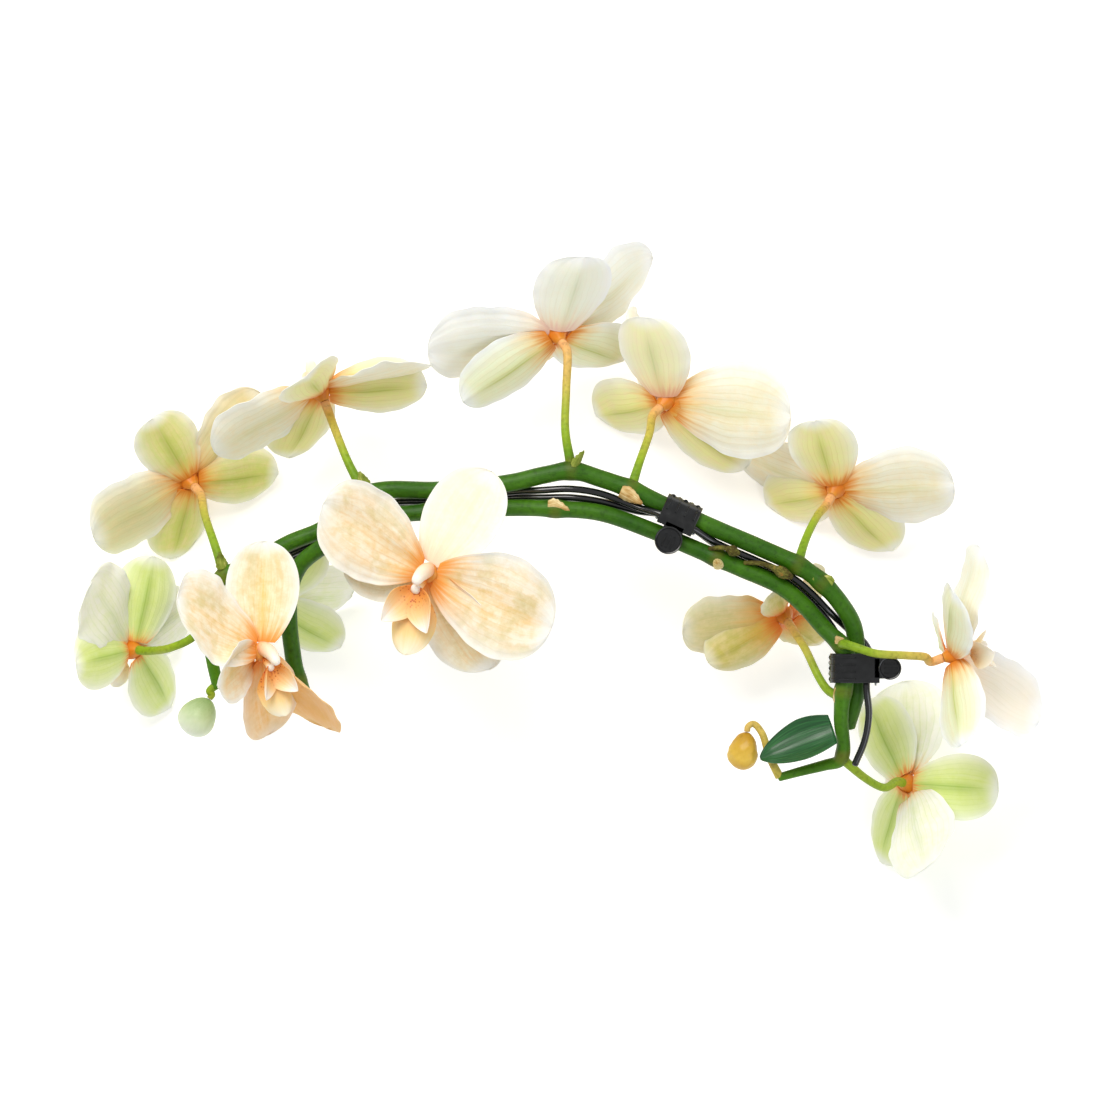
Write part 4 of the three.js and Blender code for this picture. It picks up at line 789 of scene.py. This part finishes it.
def stalkRadius(u, centre, angles):
    return stalkForm["radius"] + stalkForm["footFlare"] * (1 - u) ** 6 + stalkForm["headFlare"] * u ** 4


def stalkRoute(bloom):
    front = unit(bloom["facing"])
    heart = np.array(bloom["heart"], float)
    return [*bloom["stalk"], *(tuple(heart - front * back) for back in stalkForm["behindHeart"])]


for side, spike in spikes.items():
    nodes = np.array(spike["nodes"], float)

    def stemRadius(u, centre, angles, spike=spike, nodes=nodes):
        thin = max(0.0, (u - spike["thinsFrom"]) / (1 - spike["thinsFrom"]))
        away = np.linalg.norm(nodes - centre, axis=1)
        swell = min(1.0, np.exp(-(away / spikeForm["nodeReach"]) ** 2).sum())
        full = spike["radius"] + (spike["tip"] - spike["radius"]) * thin + spikeForm["swelling"] * swell
        return full * (1 + 0.012 * np.cos(5 * angles + 9 * u))

    path = smoothPath(spike["route"], spikeForm["steps"])
    stem = rod(path, stemRadius, spikeForm["sides"], None, 0, 0.3)
    nearest = np.linalg.norm(stem["points"][:, None, :] - nodes[None], axis=2).min(axis=1)
    stem["marks"]["scar"] = 0.4 * ease(nearest, 4.2, 2.8)
    stem["marks"]["ripe"] = 0.06 + 0.16 * np.clip((stem["marks"]["along"] - 0.8) / 0.2, 0, 1)
    parts = [stem]
    for bloom in blooms.values():
        if bloom["spike"] == side:
            stalk = rod(smoothPath(stalkRoute(bloom), 64), stalkRadius, 16, None, 0, 0.15)
            along = stalk["marks"]["along"]
            ripening = 0.42 + 0.1 * along if bloom["tone"] == "greenBloom" else 0.3 + 0.7 * along ** 1.2
            stalk["marks"].update(ripe=ripening, scar=stalkForm["scar"] * ease(along, 0.1, 0.02))
            parts.append(stalk)
    for place, direction, outward, length, width, *kind in spike["scales"]:
        scale = blade({**scaleForm, "length": length, "width": width, "seed": length}, 18, 15, None,
                      finishNumber["olive" if kind else "scale"])
        along = unit(direction)
        across = unit(np.cross(along, outward))
        parts.append(moved(scale, np.stack([across, along, np.cross(across, along)], 1), place))
    stubFrom, stubTo, stubRadius = spike["stub"]
    stub = rod(smoothPath([stubFrom, (np.array(stubFrom) + stubTo) / 2, stubTo], 12),
               lambda u, c, a: stubRadius * (1 - 0.06 * u) * (1 + 0.05 * np.cos(3 * a + 4 * u)), 14, None,
               finishNumber["cut"], 0.2)
    parts.append(stub)
    for route, thickness in spike["driedBuds"]:
        # a thread that swells into the bud near its end
        def shrivelled(u, centre, angles, thickness=thickness):
            bulge = thickness * math.exp(-((u - 0.8) / 0.16) ** 2)
            return 0.8 + bulge * (1 + 0.12 * np.cos(4 * angles + 6 * u))

        parts.append(rod(smoothPath(route, 30), shrivelled, 14, None, finishNumber["brown"], 0.8))
    budName, route, ripeFrom, ripeTo = budStalks[side]
    budCentre, budToward = budPlaces[budName]
    toward = unit(budToward)
    top = np.array(budCentre) - toward * (budSizes[budName][0] / 2 + budStalkForm["intoBud"])
    stalk = rod(smoothPath([*route, top - toward * budStalkForm["straight"], top], 40),
                lambda u, c, a: budStalkForm["radius"] - budStalkForm["thins"] * u, 14, None, 0, 0.2)
    stalk["marks"]["ripe"] = ripeFrom + (ripeTo - ripeFrom) * stalk["marks"]["along"]
    parts.append(stalk)
    addPiece(side + "Spike", parts, spikeFinishes, "root", ["spike_" + side])
print("spikes ready")

# Buds: a firm waxy egg with seams where its blades meet; the withered one has sunk and wrinkled.
budShapes = {
    "green": {"seams": 3, "seamDepth": 0.05, "wrinkle": 0.008, "slot": "green_bud",
              "tones": ("waxy green bud", [(0.0, "#94b272"), (0.4, "#bcd09e"), (0.8, "#dce6c8"),
                                           (1.0, "#eaf0dc")], "#8aa860", 0.2)},
    "yellow": {"seams": 3, "seamDepth": 0.08, "wrinkle": 0.03, "slot": "withered_bud",
               "tones": ("withered yellow bud", [(0.0, "#b4861e"), (0.35, "#cda436"), (0.7, "#dcb84c"),
                                                 (1.0, "#cfa238")], "#9a7420", 0.3, 2.0)},
}
budForm = {"rows": 44, "sides": 48, "endGap": 0.06, "taper": 0.18}
for budName, bud in budShapes.items():
    length, width = budSizes[budName]
    rows, sides = budForm["rows"], budForm["sides"]
    polar = np.linspace(budForm["endGap"], math.pi - budForm["endGap"], rows)
    angles = np.linspace(0, 2 * math.pi, sides, endpoint=False)
    polar, angles = np.meshgrid(polar, angles, indexing="ij")
    y = np.cos(polar)
    seam = 1 - bud["seamDepth"] * (np.abs(np.cos(bud["seams"] / 2 * angles)) * 2 - 1)
    seam = seam - bud["wrinkle"] * (np.sin(5 * y + 2 * angles) + 0.6 * np.sin(9 * y - 5 * angles)
                                    + 0.4 * np.sin(17 * y + 9 * angles))
    ring = np.sin(polar) * (1 - budForm["taper"] * y) * seam * width / 2
    points = np.stack([ring * np.cos(angles), y * length / 2, ring * np.sin(angles)], -1).reshape(-1, 3)
    lay = np.stack([np.cos(angles), y * 3, np.sin(angles)], -1).reshape(-1, 3)
    egg = shape(points, wallFaces(rows, sides), {"along": ((1 - y) / 2).ravel(), "lay": lay})
    centre, toward = budPlaces[budName]
    turn = np.array(Vector((0, -1, 0)).rotation_difference(Vector(toward).normalized()).to_matrix())
    addPiece(budName + "Bud", [moved(egg, turn, centre)], [waxyFinish(*bud["tones"])], "root",
             ["bud_" + budName])

# Leaf: leathery, deep green, with a satin cuticle and a sunk middle groove
leafSkin = {"Roughness": 0.33, "IOR": 1.45, "Specular IOR Level": 0.5, "Coat Weight": 0.2,
            "Coat Roughness": 0.25}
leafForm = {"length": 27, "width": 15, "widest": 0.4, "foot": 0.7, "opening": 1, "tip": 1.5, "bow": -0.06,
            "cup": 0.35, "keel": 0.5, "wave": 0.4, "ripples": 2, "thickness": 1.0, "rib": 0.4, "dents": 0.15,
            "veinRelief": 0.05, "veins": 6}
leafPlace = {"foot": (94.1, -57.6, 55), "along": (-1, -0.36, -0.12), "outward": (0.1, 0.45, 1)}
leafFinish, leafTree, leafSurface = newFinish("leathery leaf", leafSkin)
leafLay = addNode(leafTree, "Attribute", {"attribute_name": "lay"}).outputs["Vector"]
leafDrawn = addNode(leafTree, "Mapping", {}, {"Vector": leafLay, "Scale": (16.0, 2.0, 1.0)})
leafGrain = addNode(leafTree, "TexNoise", {}, {"Vector": leafDrawn, "Scale": 1.0, "Detail": 3.0})
leafRamp = addNode(leafTree, "ValToRGB", {"stops": [(0.3, "#123c1c"), (0.55, "#1e5a2a"), (0.8, "#3c7a3c")]},
                   {0: leafGrain})
leafBump = addNode(leafTree, "Bump", {}, {"Height": leafGrain, "Strength": 0.2, "Distance": bumpDepth})
setInputs(leafTree, leafSurface, {"Base Color": leafRamp, "Normal": leafBump})
leafAlong = unit(leafPlace["along"])
leafSide = unit(np.cross(leafAlong, leafPlace["outward"]))
leafBlade = moved(blade(leafForm, 40, 31), np.stack([leafSide, leafAlong, np.cross(leafSide, leafAlong)], 1),
                  leafPlace["foot"])
addPiece("leafBlade", [leafBlade], [leafFinish], "root", ["leaf"])
print("buds and leaf ready")

# Support wires: steel wire in a drawn coat of black PVC, so deep black with a sharp thin highlight along it
wireCoat = {"Base Color": hexColour("#0c0d10"), "IOR": 1.53, "Coat Weight": 0.4, "Coat Roughness": 0.08}
wireForm = {"radius": 1.2, "steps": 420, "scuffMm": 2.5}
wires = {
    "outerWire": {"node": "wire_outer", "route": [
        (-112.5, -26, 48), (-111.5, -16, 49), (-108.8, -9, 49.3), (-103, -5.6, 49.5), (-91, 1.8, 49.6),
        (-79.5, 7, 50.4), (-70, 13.8, 52.3), (-58, 19.4, 54), (-40, 20.4, 54.6), (-15, 23.4, 54.6),
        (-5, 24, 57.6), (5, 24.4, 58.3), (14.8, 22.9, 57.6), (27.6, 18.2, 57.8), (35.5, 15.8, 61),
        (40.9, 13.4, 61.4), (46.3, 11, 61), (54, 6.2, 57.8), (67.2, 0.4, 57.6), (80.1, -5.7, 57.6),
        (87, -11.4, 57.3), (92.6, -17.2, 56), (96.4, -20.8, 53), (100, -24, 51.2), (104.4, -27.6, 51),
        (106.3, -31, 52.8), (106.3, -34, 55.2), (105.4, -37.5, 58), (105.2, -43.5, 59.2), (106, -52, 57),
        (104.6, -61, 54.5), (101.4, -69, 52.5)]},
    "innerWire": {"node": "wire_inner", "route": [
        (-110.3, -27, 45.3), (-109.2, -17, 46.2), (-106.6, -10.5, 46.5), (-102, -7, 46.6), (-91, 0.6, 46.8),
        (-79, 6, 47.7), (-70, 13, 49.6), (-58, 18.6, 51.3), (-40, 19.6, 51.9), (-15, 21.4, 52.7),
        (-5, 21.5, 55.4), (5, 21.5, 56.6), (14.8, 20.2, 56), (27.5, 16.9, 54.9), (35.5, 15.8, 54.6),
        (40.9, 13.4, 54.6), (46.3, 11, 54.6), (54, 5.6, 54.6), (67, -0.6, 54.6), (79.4, -6.7, 54.8),
        (85.8, -12.8, 54.6), (91.2, -19, 54.2), (95.6, -26, 53.2), (97.2, -32, 53.6), (97.2, -39.5, 53.9)]},
}
wireFinish, wireTree, wireSurface = newFinish("drawn black PVC coat", wireCoat)
wirePlace = addNode(wireTree, "TexCoord").outputs["Object"]
wireScuffs = addNode(wireTree, "TexNoise", {}, {"Vector": wirePlace, "Scale": 1000 / wireForm["scuffMm"],
                                                "Detail": 4.0})
wireGloss = addNode(wireTree, "MapRange", {}, {0: wireScuffs, 1: 0.3, 2: 0.75, 3: 0.12, 4: 0.24})
setInputs(wireTree, wireSurface, {"Roughness": wireGloss})
for name, wire in wires.items():
    path = smoothPath(wire["route"], wireForm["steps"])
    addPiece(name, [rod(path, lambda u, c, a: wireForm["radius"], 16, None, 0, 0.6)], [wireFinish], "root",
             [wire["node"]])
print("wires ready")

# Claw clips: moulded ABS, satin black with rounded edges, a grain from the mould and greyer scuffs on its
# high places
clipCast = {"IOR": 1.54, "Specular IOR Level": 0.5}
clipWear = {"scuffMm": 3.0, "grainMm": 0.6, "grainDepth": 0.0001}
clipFinish, clipTree, clipSurface = newFinish("moulded black ABS", clipCast)
clipPlace = addNode(clipTree, "TexCoord").outputs["Object"]
clipScuffs = addNode(clipTree, "TexNoise", {}, {"Vector": clipPlace, "Scale": 1000 / clipWear["scuffMm"],
                                                "Detail": 5.0})
clipColour = addNode(clipTree, "ValToRGB", {"stops": [(0.3, "#08090b"), (0.6, "#0f1113"), (0.85, "#1e2124")]},
                     {0: clipScuffs})
clipGloss = addNode(clipTree, "MapRange", {}, {0: clipScuffs, 1: 0.3, 2: 0.75, 3: 0.13, 4: 0.26})
clipGrain = addNode(clipTree, "TexNoise", {}, {"Vector": clipPlace, "Scale": 1000 / clipWear["grainMm"],
                                               "Detail": 1.0})
clipBump = addNode(clipTree, "Bump", {}, {"Height": clipGrain, "Strength": 0.03,
                                          "Distance": clipWear["grainDepth"]})
setInputs(clipTree, clipSurface, {"Base Color": clipColour, "Roughness": clipGloss, "Normal": clipBump})

# Spring steel: hard drawn, bright, with fine scratches along it
steelDraw = {"Metallic": 1.0, "Base Color": hexColour("#c9ccd0")}
steelScratchMm = 0.5
steelFinish, steelTree, steelSurface = newFinish("drawn spring steel", steelDraw)
steelPlace = addNode(steelTree, "TexCoord").outputs["Object"]
steelNoise = addNode(steelTree, "TexNoise", {}, {"Vector": steelPlace, "Scale": 1000 / steelScratchMm,
                                                 "Detail": 3.0})
steelGloss = addNode(steelTree, "MapRange", {}, {0: steelNoise, 1: 0.3, 2: 0.7, 3: 0.2, 4: 0.4})
setInputs(steelTree, steelSurface, {"Roughness": steelGloss})

clipForm = {"plate": 1.1, "arcStart": 0.2, "drop": 0.5, "back": -1.1, "knuckle": 1.25, "hole": 0.75,
            "pin": 0.45, "round": 0.22, "ribs": 4, "ribInset": 1.4, "ribHalf": 0.3, "ribLift": (0.22, 0.28),
            "grips": (-1.5, 0, 1.5), "coil": 0.72, "coilWire": 0.17, "coilTurns": 6,
            "tooth": [(0.3, -0.95), (0.55, -0.85), (0.75, 0.2), (0.95, 0.95)],
            "grip": [(-2.8, -0.1), (2.0, -0.1), (1.7, 0.5), (-0.2, 0.75), (-2.5, 0.5)]}
clips = {
    "Arch": {"node": "clip_arch", "width": 12.6, "reach": 8.2, "height": 5.2, "squareness": 2, "tab": 4.7,
             "pin": (40.2, 11.9, 58), "along": (0.912, -0.41, 0), "claws": (0.41, 0.912, 0)},
    "Foot": {"node": "clip_foot", "width": 10, "reach": 14.6, "height": 6.6, "squareness": 3.4, "tab": 3.9,
             "pin": (108.4, -36.4, 57), "along": (0, 1, 0), "claws": (-1, 0, 0)},
}


# A flat outline in Y and Z drawn out along X, its rims eased by a narrow chamfer
def drawnOut(outline, start, end, eased=None):
    eased = clipForm["round"] if eased is None else eased
    outline = np.array(outline, float)
    following, earlier = np.roll(outline, -1, axis=0), np.roll(outline, 1, axis=0)
    way = following - earlier
    area = np.cross(outline, following).sum()
    inward = np.stack([-way[:, 1], way[:, 0]], 1) / np.maximum(np.linalg.norm(way, axis=1), 1e-9)[:, None]
    inset = outline + inward * eased * (1 if area > 0 else -1)
    layers = [(start, inset), (start + eased, outline), (end - eased, outline), (end, inset)]
    points = [(x, y, z) for x, ring in layers for y, z in ring]
    return shape(points, wallFaces(len(layers), len(outline)))


# The claw plate from the side: over the bundle in an arc to the teeth, and back behind the pin
def clawOutline(clip):
    plate, start = clipForm["plate"], clipForm["arcStart"]
    run = np.sin(np.linspace(0, 1, 16) * math.pi / 2 * 0.9)

    def arc(grow):
        top = clip["height"] + grow
        return [(start + t * (clip["reach"] - start) + grow * t ** 2,
                 top * (1 - t ** clip["squareness"]) ** (1 / clip["squareness"])) for t in run]

    inner = [(clipForm["back"], clip["height"])] + arc(0) + [(clip["reach"], clipForm["drop"])]
    outer = arc(plate) + [(clip["reach"] + plate, clipForm["drop"])]
    return inner + outer[::-1] + [(clipForm["back"], clip["height"] + plate)]


# A barrel with its hole, along X
def barrel(start, end, sides=24):
    angles = [2 * math.pi * k / sides for k in range(sides)]
    points = [(x, radius * math.cos(a), radius * math.sin(a))
              for x in (start, end) for radius in (clipForm["knuckle"], clipForm["hole"]) for a in angles]
    ringPairs = ((0, 2), (1, 3), (0, 1), (2, 3))
    return shape(points, [[a * sides + j, a * sides + (j + 1) % sides, b * sides + (j + 1) % sides,
                           b * sides + j] for a, b in ringPairs for j in range(sides)])


# One jaw: its arched plate with blunt teeth and stiffening ribs, its knuckles, and the round tab that a thumb
# presses
def jawShapes(clip, toothPlaces, knucklePlaces):
    height, plate, half = clip["height"], clipForm["plate"], clip["width"] / 2
    top = height + plate
    parts = [drawnOut(clawOutline(clip), -half, half)]
    for x in toothPlaces:
        parts.append(moved(turned(clipForm["tooth"], 16), np.eye(3), (x, clip["reach"] + plate / 2, 0.55)))
    ridge = clawOutline(clip)[18:30]  # the top of the arc, where the ribs run
    out, up = clipForm["ribLift"]
    lifted = [(y + out, z + up) for y, z in ridge[::-1]]
    for x in np.linspace(clipForm["ribInset"] - half, half - clipForm["ribInset"], clipForm["ribs"]):
        parts.append(drawnOut(ridge + lifted, x - clipForm["ribHalf"], x + clipForm["ribHalf"], 0.08))
    arm = [(-1.25, 0.95), (-0.4, 1.1), (0.05, 1.3), (0.05, height + 0.4), (-1.25, height + 0.4)]
    for start, end in knucklePlaces:
        parts += [barrel(start, end), drawnOut(arm, start, end, 0.12)]
    tab, centre = clip["tab"], -(clip["tab"] + 0.7)
    edge = [(0.3, 0), (tab - 0.5, 0), (tab - 0.15, 0.2), (tab, 0.6), (tab, 1.25), (tab - 0.25, 1.5),
            (tab - 0.55, 1.42), (tab - 0.8, 1.05), (0.3, 0.95)]
    parts.append(moved(turned(edge, 40), np.eye(3), (0, centre, height + 0.25)))
    parts.append(drawnOut([(-3.8, height), (0.6, height), (0.6, top), (-3.8, top)], -3.5, 3.5, 0.3))
    for x in clipForm["grips"]:
        grip = [(centre + y, top + z) for y, z in clipForm["grip"]]
        parts.append(drawnOut(grip, x - clipForm["ribHalf"], x + clipForm["ribHalf"], 0.12))
    return parts


for name, clip in clips.items():
    x = unit(clip["along"])
    z = unit(np.cross(x, clip["claws"]))
    turn = np.stack([x, np.cross(z, x), z], 1)
    toothStep, inner, outer = clip["width"] * 0.365, clip["width"] * 0.35, clip["width"] / 2
    front = jawShapes(clip, (-toothStep, 0, toothStep), [(-inner, -inner + 2.2), (inner - 2.2, inner)])
    back = jawShapes(clip, (-toothStep / 2, toothStep / 2), [(-outer, -inner - 0.3), (inner + 0.3, outer)])
    back = [moved(part, np.diag((1, 1, -1))) for part in back]
    for label, parts, body, node in (("Jaw", front, clip["node"] + "_jaw", "_jaw"),
                                     ("Base", back, "root", "_base")):
        addPiece("clip" + name + label, [moved(part, turn, clip["pin"]) for part in parts], [clipFinish],
                 body, [clip["node"] + node], 38)
    end = clip["width"] / 2 + 0.8
    pinPath = np.array([(x, 0, 0) for x in np.linspace(-end, end, 20)])
    pin = rod(pinPath, lambda u, c, a: clipForm["pin"], 14, None, 0, 0.4)
    run = np.linspace(0, 1, 16 * clipForm["coilTurns"] + 1)
    wound = 2 * math.pi * clipForm["coilTurns"] * run
    coilPath = np.stack([2 * run - 1, clipForm["coil"] * np.cos(wound), clipForm["coil"] * np.sin(wound)], 1)
    coil = rod(coilPath, lambda u, c, a: clipForm["coilWire"], 8, None, 0, 0.4)
    addPiece("clip" + name + "Pin", [moved(part, turn, clip["pin"]) for part in (pin, coil)], [steelFinish],
             "root", [clip["node"] + "_pin"])
print("clips ready")
